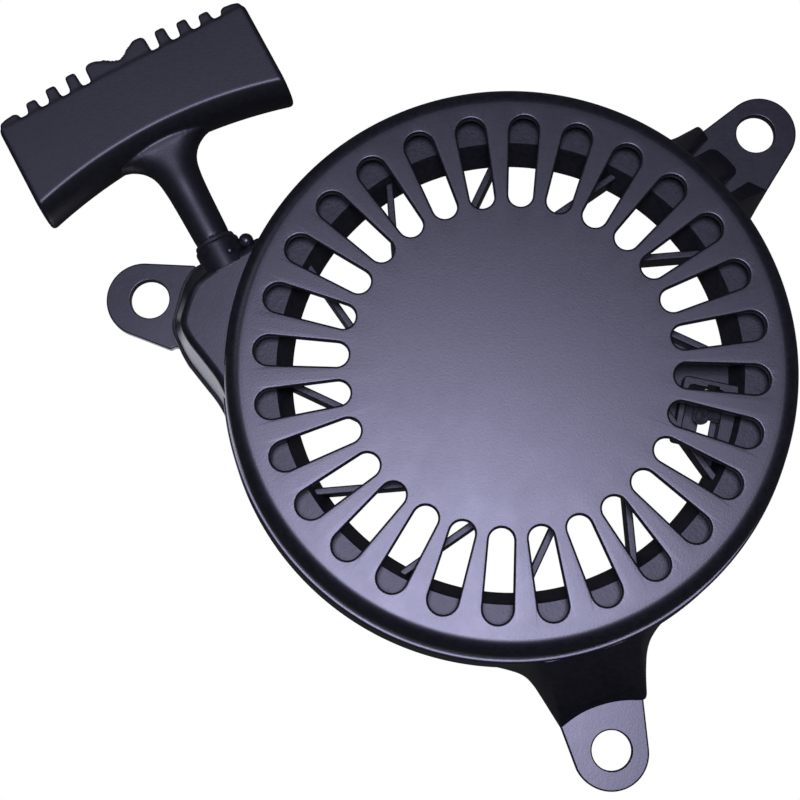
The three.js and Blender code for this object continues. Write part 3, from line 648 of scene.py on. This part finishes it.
# ------------------------------------------------------------------ reel
def along_spoke(r, behind):
    return polar(r, SPOKE_FIRST - math.degrees(math.acos(SPOKE_TANGENT_R / r)) - behind)


# the rope groove between the flanges: its top and low side, and its inner wall from the top down
GROOVE_TOP, GROOVE_LOW = REEL_TOP - FLANGE, REEL_BOTTOM + FLANGE
GROOVE_WALL = [(RIM_TOP_R + 2.6, GROOVE_TOP - 0.5), (RIM_LOW_R + 3.2, GROOVE_LOW + 0.5)]


def reel_rim():
    """Two flanges with the rope groove between them; the open middle narrows downwards."""
    low, high = REEL_BOTTOM, REEL_TOP
    return lathe("rim", [
        (RIM_TOP_R + 0.1, high - 0.35), (RIM_TOP_R + 0.45, high), (REEL_R - 0.5, high),
        (REEL_R - 0.1, high - 0.2), (REEL_R, high - 0.6), (REEL_R - 0.1, high - 1.1),
        (REEL_R - 0.5, GROOVE_TOP), (RIM_TOP_R + 3.2, GROOVE_TOP), *GROOVE_WALL,
        (RIM_LOW_R + 3.8, GROOVE_LOW), (REEL_R - 0.5, GROOVE_LOW), (REEL_R, low + 0.8), (REEL_R, low + 0.4),
        (REEL_R - 0.4, low), (RIM_LOW_R + 0.4, low), (RIM_LOW_R, low + 0.4), (RIM_LOW_R, GROOVE_LOW),
        (RIM_LOW_R + 0.8, low + 3.2), (RIM_TOP_R - 0.9, high - 2.6)], 288)


def reel_groove():
    """Clears the rope groove of what reaches into it."""
    return lathe("groove", [
        (REEL_R + 1, GROOVE_TOP - 0.01), (RIM_TOP_R + 3.2, GROOVE_TOP - 0.01), *GROOVE_WALL,
        (RIM_LOW_R + 3.8, GROOVE_LOW + 0.01), (REEL_R + 1, GROOVE_LOW + 0.01)], 288)


def reel_hub():
    """The spring's cup and the hub that turns on the sleeve."""
    return lathe("hub", [
        (SLEEVE_R + 0.3, CUP_FLOOR), (CUP_R - 2.7, CUP_FLOOR), (CUP_R - 2.2, CUP_FLOOR + 0.5),
        (CUP_R - 2.2, 45), (CUP_R - 1.8, 45.4), (CUP_R - 0.4, 45.4), (CUP_R, 45),
        (CUP_R + 0.6, HUB_LOW + 0.5), (CUP_R, HUB_LOW), (13.2, HUB_LOW), (12.5, HUB_LOW - 0.6),
        (12.5, 21.6), (12.1, 21.2), (SLEEVE_R + 0.3, 21.2)], 144)


def spoke(i):
    inner, outer = SPOKE_TANGENT_R - SPOKE_THICK / 2, SPOKE_TANGENT_R + SPOKE_THICK / 2
    outline = [(inner, -65.4), (outer, -65.4), (outer, -27), (inner, -27)]
    bar = soft_prism("spoke", outline, REEL_BOTTOM, SPOKE_TOP, top=0.5)
    return turn(bar, SPOKE_FIRST + 360 * i / SPOKES)


def filled_bay():
    """Thin floor between two spokes."""
    outline = [along_spoke(r, behind) for r, behind in (
        (42.5, 0), (56, 0), (71.5, 0), (72.4, 10), (72.4, 20), (71.5, 30), (56, 30), (42.5, 30), (43, 15))]
    return loft("bay", [(counter_clockwise(outline), z) for z in (REEL_BOTTOM, REEL_BOTTOM + 3)])


def knot_pocket():
    """The pocket for the rope's knot, then what is cut out of it: its room, a slit and the rope's hole."""
    walls = rounded([(55, -10.5), (73.5, -10.5), (73.5, 10.5), (55, 10.5)], 1.5)
    pocket = soft_prism("pocket", walls, REEL_BOTTOM, SPOKE_TOP, top=0.5)
    inside = rounded([(57.2, -8), (68.6, -8), (68.6, 8), (57.2, 8)], 1.5)
    room = flared("room", inside, REEL_BOTTOM + 2.4, SPOKE_TOP, top=0.4, over=0)
    add(room, block(57.6, 68.2, -7.6, 7.6, SPOKE_TOP - 1, 50))
    slit = block(62.8, 66.8, -9, 9, 20, 50)
    hole = loft("hole", [(circle(ROPE_R + 0.5, 24), r) for r in (60, 80)])
    cutters = (room, slit, move(turn(hole, 90, "Y"), z=ROPE_Z))
    return turn(pocket, KNOT_DEG), [turn(cutter, KNOT_DEG) for cutter in cutters]


def build_reel():
    rim, hub = reel_rim(), reel_hub()
    for i in range(SPOKES):
        add(rim, spoke(i))
    pocket, pocket_cutters = knot_pocket()
    add(rim, hub, filled_bay(), pocket)
    cut(rim, *pocket_cutters, block(-1.1, 0.5, 40, 45, CUP_FLOOR + 0.6, 46), reel_groove())
    for angle in PAWL_ANGLES:
        cut(rim, loft("pin_hole", [(circle(2.3, 32, *polar(PIVOT_R, angle)), z) for z in (20, 29.2)]))
    return rim


piece(build_reel(), "rope_reel", "reel", reel_grey, "reel_grey", "reel", angle=30)


# ------------------------------------------------------------------ springs and rope, as tubes along curves
def tube(name, points, radius, sides=16, braid=0.0, pitch=6.0, strands=8):
    """Capped round tube through dense points; braid presses a woven pattern into its surface."""
    p = np.array(points, float)
    along = np.gradient(p, axis=0)
    along /= np.linalg.norm(along, axis=1)[:, None]
    length = np.concatenate([[0], np.cumsum(np.linalg.norm(np.diff(p, axis=0), axis=1))])
    side = np.cross(along[0], (0.12, 0.2, 1.0))
    side /= np.linalg.norm(side)
    vertices = []
    for point, direction, run in zip(p, along, length):
        side = side - direction * side.dot(direction)
        side /= np.linalg.norm(side)
        other = np.cross(direction, side)
        twist = TAU * run / pitch
        for k in range(sides):
            a = TAU * k / sides
            weave = max(math.sin(strands / 2 * a + twist), math.sin(strands / 2 * a - twist))
            r = radius * (1 - braid * (1 - max(0.0, weave)))
            vertices.append(tuple(point + r * (math.cos(a) * side + math.sin(a) * other)))
    faces = [tuple(range(sides))[::-1], tuple(range((len(p) - 1) * sides, len(p) * sides))]
    for i in range(len(p) - 1):
        a, b = i * sides, (i + 1) * sides
        faces += [(a + k, a + (k + 1) % sides, b + (k + 1) % sides, b + k) for k in range(sides)]
    return outward(new_object(name, vertices, faces))


def smooth_path(points, step):
    """Dense points on a Catmull-Rom curve through the given ones."""
    p = [np.array(q, float) for q in points]
    p = [2 * p[0] - p[1]] + p + [2 * p[-1] - p[-2]]
    out = []
    for a, b, c, d in zip(p, p[1:], p[2:], p[3:]):
        count = max(2, int(np.linalg.norm(c - b) / step))
        for t in np.linspace(0, 1, count, endpoint=False):
            out.append(0.5 * ((2 * b) + (c - a) * t + (2 * a - 5 * b + 4 * c - d) * t ** 2
                              + (3 * b - a - 3 * c + d) * t ** 3))
    return out + [p[-2]]


def on_line(a, b=0.0, z=ROPE_Z):
    c, s = math.cos(math.radians(PULL_DEG)), math.sin(math.radians(PULL_DEG))
    return (OUTLET[0] + a * c - b * s, OUTLET[1] + a * s + b * c, z)


bend = on_line(-6)
bend_r = math.hypot(bend[0], bend[1])
tangent_deg = math.degrees(math.atan2(bend[1], bend[0]) + math.acos(WIND_R / bend_r))
tangent = (*polar(WIND_R, tangent_deg), ROPE_Z)


def to_bend(t):
    return tuple(a + t * (b - a) for a, b in zip(tangent, bend))


lead_route = [to_bend(0.45), to_bend(0.7), to_bend(0.9), bend, on_line(-3), on_line(0.2)]
lead = tube("lead", smooth_path(lead_route, 0.5), ROPE_R, 24, braid=ROPE_BRAID)
piece(lead, "rope_lead_braided", "housing", rope_black, "rope_black", "rope_lead", angle=60)

WIND_LOW, WIND_HIGH, WIND_STEPS = 32.3, 36.9, 900
first_deg = KNOT_DEG - 720 - (KNOT_DEG - tangent_deg) % 360 + 20
turns_deg = np.linspace(first_deg, KNOT_DEG + 4, WIND_STEPS)[::-1]
coil = [(*polar(WIND_R, d), z) for d, z in zip(turns_deg, np.linspace(WIND_LOW, WIND_HIGH, WIND_STEPS))]
winding = tube("winding", coil, ROPE_R, 20, braid=ROPE_BRAID)
piece(winding, "rope_on_reel", "reel", rope_black, "rope_black", "rope_winding", angle=60)


def knot(name, size, radius):
    """Tight overhand knot."""
    t = np.linspace(0, TAU, 120)
    x, y, z = np.sin(t) + 2 * np.sin(2 * t), np.cos(t) - 2 * np.cos(2 * t), -1.1 * np.sin(3 * t)
    return tube(name, np.stack([x, y, z], 1) * size, radius, 16, braid=ROPE_BRAID)


def straight(a, b):
    a, b = np.array(a), np.array(b)
    return tube("straight", [a + t * (b - a) for t in np.linspace(0, 1, 40)], ROPE_R, 20, braid=ROPE_BRAID)


reel_knot = move(turn(knot("reel_knot", 0.78, 1.7), 90, "Y"), 62.9, 0, ROPE_Z)
reel_knot = join([reel_knot, straight((64, 0, ROPE_Z), (76.2, 0, ROPE_Z))])
piece(turn(reel_knot, KNOT_DEG), "rope_knot_reel", "reel", rope_black, "rope_black", "rope_reel_knot",
      angle=60)
grip_knot = join([move(knot("grip_knot", 0.82, 1.8), 0, 0, 57.4), straight((0, 0, 2.2), (0, 0, 57))])
piece(on_pull_line(grip_knot), "rope_knot_grip", "grip", rope_black, "rope_black", "rope_grip_end", angle=60)

# the stretch that shows between the outlet and the grip once the grip is pulled
STRETCH_FROM, STRETCH_TO = 0.8, 1.7
stretch_steps = [0.3, 0.6, *np.linspace(STRETCH_FROM, STRETCH_TO, 121), 2.0, 2.3]
stretch = tube("stretch", [on_line(a) for a in stretch_steps], ROPE_R - 0.05, 24)
stretch.name = stretch.data.name = "rope_pulled_out"
stretch.data.materials.append(rope_black)
shade(stretch, 60)
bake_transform(stretch)


# ------------------------------------------------------------------ grip
FINGER_REACH, FINGER_BOW, FINGER_ROUND, CREASE = 36, 6.4, 5.7, math.radians(64)
# the stem: place along the pull, half width and half height
STEM = [(1.3, 5.2, 4.9), (1.8, 5.8, 5.5), (15, 6.25, 6), (22, 6.65, 6.4), (27, 7.4, 6.5), (30, 8.7, 6.6),
        (32.5, 10.9, 6.7), (34.5, 14.2, 6.8), (36.2, 18.5, 6.9), (41, 20, 7)]
# the comb's ribs: distance from the middle and height
RIBS = ((16.3, 69.8), (23.9, 69), (31.5, 67.9))
# small nubs on the T's ends: place along the pull and radius
NUBS, NUB_OUT = ((57.5, 0.9), (38.5, 0.8)), 0.5
END_ROUND = 1.6
COMB_ROOT = COMB_BASE - 3
SADDLE = [(COMB_ROOT, -11.2), (69.2, -10.9), (70.1, -10.2), (70.4, -8.5), (70.3, -6.7), (68.9, -4.7),
          (67.1, -2.7), (66.3, -0.9), (66.5, 0.8), (67.6, 2.8), (69, 4.8), (70, 6.8), (70.3, 8.5),
          (70, 10.2), (69, 10.9), (COMB_ROOT, 11.2)]
END_BLOCK = [(COMB_ROOT, 36.5), (65.6, 36.8), (66.5, 38), (66.2, 41.2), (65.4, 43.8), (COMB_ROOT, 44.4)]


def bar_section(b, shrink=0.0):
    """Section of the T: flat sides with a crease where the rounded finger side starts."""
    finger = FINGER_REACH - FINGER_BOW * (b / GRIP_HALF) ** 2 + shrink
    half, back = GRIP_THICK - shrink, COMB_BASE - shrink
    level, rise = math.cos(CREASE), math.sin(CREASE)
    side = [(finger + FINGER_ROUND * (1 - (math.cos(a) - level) / (1 - level)), half * math.sin(a) / rise)
            for a in np.linspace(CREASE, -CREASE, 33)]
    return [(back - 0.6, -half), (back, -half + 0.6), (back, half - 0.6), (back - 0.6, half)] + side


def grip_bar():
    ends = [(GRIP_HALF - END_ROUND + END_ROUND * math.sin(a), END_ROUND * (1 - math.cos(a)))
            for a in np.linspace(0, math.pi / 2, 6)]
    stations = [(-b, s) for b, s in ends[::-1]] + [(b, 0) for b in np.linspace(-40, 40, 41)] + ends
    return turn(loft("bar", [(bar_section(b, s), b) for b, s in stations]), -90, "X")


def grip_stem():
    rows = smooth_path(STEM, 0.6)
    sections = [([(high * x, wide * y) for x, y in circle(1, 64)], a) for a, wide, high in rows]
    return turn(loft("stem", sections), 90, "Y")


def comb_outlines():
    """The palm side: three ribs and an end block on each side of the saddle."""
    outlines = []
    for b, top in RIBS:
        rib = [(COMB_ROOT, b - 2.6), (COMB_BASE, b - 2.6), (COMB_BASE + 1, b - 2.1), (top, b - 1.8),
               (top, b + 1.8), (COMB_BASE + 1, b + 2.1), (COMB_BASE, b + 2.6), (COMB_ROOT, b + 2.6)]
        outlines += [[(x, s * y) for x, y in rib] for s in (1, -1)]
    outlines += [[(x, s * y) for x, y in END_BLOCK] for s in (1, -1)]
    return outlines + [SADDLE]


def grip_nub(place, radius):
    tip = GRIP_HALF + NUB_OUT
    profile = [(0, 0), (radius, 0), (radius, tip - 0.3), (radius - 0.3, tip), (0, tip)]
    return move(turn(lathe("nub", profile, 24), 90, "X"), place)


def build_grip():
    bar = grip_bar()
    depth = GRIP_THICK - 0.2
    for outline in comb_outlines():
        outline = rounded(counter_clockwise(outline), 0.9, 4)
        add(bar, soft_prism("tooth", outline, -depth, depth, top=0.7, bottom=0.7))
    for place, radius in NUBS:
        add(bar, grip_nub(place, radius))
    add(bar, grip_stem())
    remesh = bar.modifiers.new("remesh", "REMESH")
    remesh.mode = "VOXEL"
    remesh.voxel_size = 0.00042
    smooth = bar.modifiers.new("smooth", "SMOOTH")
    smooth.factor, smooth.iterations = 0.5, 4
    settle(bar)
    cut(bar, turn(loft("knot_room", [(circle(6, 48), 50), (circle(6, 48), 80)]), 90, "Y"))
    cut(bar, turn(loft("rope_bore", [(circle(2.7, 32), 0), (circle(2.7, 32), 60)]), 90, "Y"))
    return bar


piece(along_pull(build_grip()), "t_grip", "grip", grip_black, "grip_black", "grip", angle=40)


# ------------------------------------------------------------------ outlet eyelet and grip insert
eyelet = on_pull_line(lathe("eyelet", [
    (4.6, 0.7), (4.8, 0.9), (6.2, 0.9), (6.65, 0.7), (6.8, 0.3), (6.8, -0.5), (6.6, -0.7), (5.3, -0.7),
    (5.3, -11.2), (5, -11.5), (4.4, -11.5), (3.6, -9.8), (3.1, -8.2), (2.85, -6.8), (2.8, -5.6),
    (2.95, -4.2), (3.2, -3.2), (3.9, -1)], 96))
piece(eyelet, "outlet_eyelet", "housing", nylon_black, "nylon_black", "rope_eyelet")
insert = on_pull_line(lathe("insert", [
    (2.6, 50.5), (2.8, 50.3), (5.5, 50.3), (5.7, 50.5), (5.7, 53.3), (5.4, 53.6), (4.7, 53.6), (4.3, 53.3),
    (3.4, 51.9), (2.9, 51.8), (2.6, 51.6)], 72))
piece(insert, "knot_washer", "grip", zinc_steel, "zinc_steel", "grip_insert")


# ------------------------------------------------------------------ spiral spring
SPIRAL_IN, SPIRAL_GROWTH, SPIRAL_TURNS, STRIP = 11.2, 28.8, 8, 0.6


def spiral(extra):
    steps = np.linspace(0, 1, SPIRAL_TURNS * 60 + 1)
    return [polar(SPIRAL_IN + SPIRAL_GROWTH * t ** 0.72 + extra, 90 + 360 * SPIRAL_TURNS * t) for t in steps]


outer_hook = [(0, 43.1), (-STRIP, 43.1), (-STRIP, 40)]
inner_hook = [(0, 5), (STRIP, 5), (STRIP, SPIRAL_IN + STRIP)]
spring_outline = counter_clockwise(spiral(STRIP) + outer_hook + spiral(0)[::-1] + inner_hook)
spring = loft("spring", [(spring_outline, z) for z in (31, 31.3, 42.7, 43)])
piece(spring, "spiral_spring", "reel", spring_steel, "spring_steel", "recoil_spring", angle=40)


# ------------------------------------------------------------------ pawls, their pins and springs
PAWL_LOW, PAWL_TOP, GUIDE_LOW, GUIDE_TOP, PEG_R = 21.3, 25.3, 18.4, 20.8, 1.6
PAWL_ARM = [(5.1, 1), (5.6, -8), (6.2, -18), (5.4, -24.6), (2.2, -26), (-0.6, -24.4), (-2.6, -14), (-5.1, 1)]
PAWL_CORNERS = [3, 6, 3, 1.2, 1.6, 2, 6, 3]
PAWL_WIRE = [(7.6, 6.6, 26.4), (5.2, 3.6, 26.4), (3.35, 0.6, 26.3), (1.7, -2.9, 26.3), (-2, -2.7, 26.3),
             (-3.3, 0.6, 26.3), (-0.8, 3.3, 26.4), (-4.4, 5.4, 26.4), (-7.4, 6.4, 26.4)]
PIN_PROFILE = [(0, 28.9), (1.8, 28.9), (2, 28.7), (2, 27.2), (2.4, 27.2), (2.4, 21.5), (2.1, 21.2),
               (0, 21.2)]


def build_pawl():
    """The arm with its eye, and the peg that the guide plate leads."""
    arm = soft_prism("pawl", rounded(PAWL_ARM, PAWL_CORNERS, 6), PAWL_LOW, PAWL_TOP, 0.4, 0.4)
    add(arm, soft_prism("eye", circle(5.2, 64), PAWL_LOW, PAWL_TOP, 0.4, 0.4),
        soft_prism("peg", circle(PEG_R, 40, 0, -PEG_ARM), GUIDE_LOW + 0.2, PAWL_TOP - 1, 0, 0.3))
    return cut(arm, flared("eye_hole", circle(2.7, 48), PAWL_LOW, PAWL_TOP, 0.25, 0.25))


for side, angle in zip("ab", PAWL_ANGLES):
    pawl = build_pawl()
    pin = lathe("pin", PIN_PROFILE, 48)
    wire = tube("pawl_wire", smooth_path(PAWL_WIRE, 0.25), 0.35, 12)
    for obj, name, body, material, slot, node in (
            (pawl, f"pawl_{side}_forged", f"pawl_{side}", zinc_steel, "zinc_steel", f"pawl_{side}"),
            (pin, f"pawl_pin_{side}_turned", "reel", zinc_steel, "zinc_steel", f"pawl_pin_{side}"),
            (wire, f"pawl_spring_{side}_wire", "reel", spring_steel, "spring_steel", f"pawl_spring_{side}")):
        piece(turn(move(obj, PIVOT_R), angle), name, body, material, slot, node)


# ------------------------------------------------------------------ guide plate
def cam_slot():
    """The path of a pawl's peg seen from the turning plate, as a slot with round ends."""
    middle = []
    for t in np.linspace(0, 1, 25):
        x, y = polar(PEG_ARM, -90 + PAWL_SWING * t)
        a = -math.radians(GUIDE_SWING * t)
        x += PIVOT_R
        middle.append((x * math.cos(a) - y * math.sin(a), x * math.sin(a) + y * math.cos(a)))
    reach = PEG_R + 0.35
    p = np.array(middle)
    way = np.gradient(p, axis=0)
    way /= np.linalg.norm(way, axis=1)[:, None]
    left = np.stack([-way[:, 1], way[:, 0]], 1) * reach
    first, last = (math.degrees(math.atan2(w[1], w[0])) for w in (way[0], way[-1]))
    cap_end = arc(*p[-1], reach, reach, last - 90, last + 90, 13)
    cap_start = arc(*p[0], reach, reach, first + 90, first + 270, 13)
    right_side = [tuple(q) for q in (p - left)[1:-1]]
    left_side = [tuple(q) for q in (p + left)[::-1][1:-1]]
    return right_side + cap_end + left_side + cap_start


guide = lathe("guide", [
    (SLEEVE_R + 0.4, GUIDE_TOP - 0.2), (SLEEVE_R + 0.6, GUIDE_TOP), (33.2, GUIDE_TOP),
    (33.8, GUIDE_TOP - 0.2), (34, GUIDE_TOP - 0.7), (34, GUIDE_LOW + 0.4), (33.6, GUIDE_LOW),
    (16.7, GUIDE_LOW), (16.4, GUIDE_LOW - 0.1), (15.5, GUIDE_LOW - 0.9), (15.2, GUIDE_LOW - 1),
    (14.2, GUIDE_LOW - 1), (14, GUIDE_LOW - 0.8), (14, GUIDE_LOW), (SLEEVE_R + 0.6, GUIDE_LOW),
    (SLEEVE_R + 0.4, GUIDE_LOW + 0.2)], 144)
for angle in PAWL_ANGLES:
    cut(guide, turn(flared("cam_slot", cam_slot(), GUIDE_LOW, GUIDE_TOP, 0.2, 0.2), angle))
piece(guide, "pawl_guide", "guide", nylon_black, "nylon_black", "guide_plate")


# ------------------------------------------------------------------ centre fastening
sleeve = lathe("sleeve", [(7.3, 29.9), (7.5, 30.1), (SLEEVE_R - 0.2, 30.1), (SLEEVE_R, 29.9), (SLEEVE_R, 15),
                          (SLEEVE_R - 0.2, 14.8), (7.5, 14.8), (7.3, 15)], 96)
piece(sleeve, "bearing_sleeve", "housing", zinc_steel, "zinc_steel", "post_sleeve")

friction_path = [(*polar(10.4, d), 15.45 + 2.1 * d / 630) for d in range(0, 631, 6)]
friction = tube("friction", friction_path, 0.55, 14)
piece(friction, "friction_coil", "housing", spring_steel, "spring_steel", "friction_spring")

washer = lathe("washer", [(3.3, 14.2), (12.8, 14.2), (13, 14), (13, 13.2), (12.8, 13), (3.3, 13),
                          (3.1, 13.2), (3.1, 14)], 96)
piece(washer, "thrust_washer", "housing", zinc_steel, "zinc_steel", "screw_washer")

screw = lathe("screw", [(0, 32), (2.2, 32), (2.8, 31.4), (2.8, 12.7), (6.2, 12.7), (6.6, 12.4), (6.6, 12.1),
                        (6.2, 11.8), (5, 11.6), (0, 11.6)], 64)
hexagon = soft_prism("hexagon", rounded(circle(5.8, 6), 0.3, 3), 7.8, 11.7, 0, 0)
keep(hexagon, lathe("chamfer", [(0, 12), (6, 12), (6, 8.5), (5.2, 7.9), (4.9, 7.8), (0, 7.8)], 64))
add(screw, hexagon)
piece(screw, "flanged_screw", "housing", zinc_steel, "zinc_steel", "centre_screw")


# ------------------------------------------------------------------ camera, floor and light
def aim(obj, target):
    direction = Vector(target) - obj.location
    obj.rotation_euler = direction.to_track_quat("-Z", "Y").to_euler()


CAMERA_PLACE, CAMERA_LENS, CAMERA_SENSOR = (-0.0271, -0.1000, 0.615), 82.26, 36
CAMERA_TILT, CAMERA_AXIS = 8.965, (0.9961, 0.0881, 0)

camera = bpy.data.objects.new("camera", bpy.data.cameras.new("camera"))
bpy.context.scene.collection.objects.link(camera)
camera.data.lens = CAMERA_LENS
camera.data.sensor_width = CAMERA_SENSOR
camera.location = CAMERA_PLACE
camera.rotation_mode = "QUATERNION"
tilt = Matrix.Rotation(math.radians(CAMERA_TILT), 3, Vector(CAMERA_AXIS))
camera.rotation_quaternion = tilt.to_quaternion()
camera.data.clip_start, camera.data.clip_end = 0.01, 50
bpy.context.scene.camera = camera


def glow(tree, kind, out_kind, seen, mirrored, spread):
    """Plain tone that the camera sees, with its own strength in reflections and in soft light."""
    tree.nodes.clear()
    out = tree.nodes.new(out_kind)
    path = tree.nodes.new("ShaderNodeLightPath")
    tones = {}
    for ray, (colour, strength) in ((None, spread), ("Is Glossy Ray", mirrored), ("Is Camera Ray", seen)):
        tone = tones[ray] = tree.nodes.new(kind)
        tone.inputs["Color"].default_value = (*colour, 1)
        tone.inputs["Strength"].default_value = strength
        if ray is None:
            result = tone.outputs[0]
            continue
        mix = tree.nodes.new("ShaderNodeMixShader")
        tree.links.new(path.outputs[ray], mix.inputs["Fac"])
        tree.links.new(result, mix.inputs[1])
        tree.links.new(tone.outputs[0], mix.inputs[2])
        result = mix.outputs[0]
    tree.links.new(result, out.inputs["Surface"])
    return tones["Is Glossy Ray"]


def pool(tree, emission, centre, inner, outer, strength):
    """A brighter spot that only reflections see: full inside one radius, gone outside another."""
    place = tree.nodes.new("ShaderNodeTexCoord")
    away = tree.nodes.new("ShaderNodeVectorMath")
    away.operation = "DISTANCE"
    away.inputs[1].default_value = centre
    tree.links.new(place.outputs["Object"], away.inputs[0])
    fall = tree.nodes.new("ShaderNodeMapRange")
    fall.interpolation_type = "SMOOTHSTEP"
    fall.inputs["From Min"].default_value = inner
    fall.inputs["From Max"].default_value = outer
    fall.inputs["To Min"].default_value = strength
    fall.inputs["To Max"].default_value = emission.inputs["Strength"].default_value
    tree.links.new(away.outputs["Value"], fall.inputs["Value"])
    tree.links.new(fall.outputs["Result"], emission.inputs["Strength"])


FLOOR_HALF, FLOOR_Z = 4, -0.0006

corners = [(x * FLOOR_HALF, y * FLOOR_HALF, FLOOR_Z) for x, y in ((-1, -1), (1, -1), (1, 1), (-1, 1))]
floor = new_object("floor", corners, [(0, 1, 2, 3)], 1)
floor_white = bpy.data.materials.new("floor_white")
floor_white.use_nodes = True
mirrored_floor = glow(floor_white.node_tree, "ShaderNodeEmission", "ShaderNodeOutputMaterial",
                      ((1, 1, 1), 1.0), ((0.86, 0.88, 1.0), 0.05), ((0.7, 0.7, 0.8), 0.08))
pool(floor_white.node_tree, mirrored_floor, (-0.114, -0.004, 0), 0.022, 0.042, 1.5)
floor.data.materials.append(floor_white)

world = bpy.data.worlds.new("studio")
world.use_nodes = True
bpy.context.scene.world = world
glow(world.node_tree, "ShaderNodeBackground", "ShaderNodeOutputWorld",
     ((1, 1, 1), 1.0), ((0.75, 0.75, 1.0), 0.03), ((0.75, 0.75, 1.0), 0.05))


def softbox(name, place, target, width, height, power, colour):
    data = bpy.data.lights.new(name, "AREA")
    data.shape = "RECTANGLE"
    data.size, data.size_y = width, height
    data.energy = power
    data.color = colour
    obj = bpy.data.objects.new(name, data)
    obj.location = place
    bpy.context.scene.collection.objects.link(obj)
    aim(obj, target)


softbox("softbox_top", (-0.03, -0.07, 1.3), (0, 0, 0), 0.34, 0.40, 17, (0.68, 0.66, 1.0))
softbox("softbox_fill", (-0.9, 0.5, 1.1), (0, 0, 0), 0.5, 0.5, 1.4, (0.75, 0.75, 1.0))
bpy.context.scene.view_settings.view_transform = "Standard"
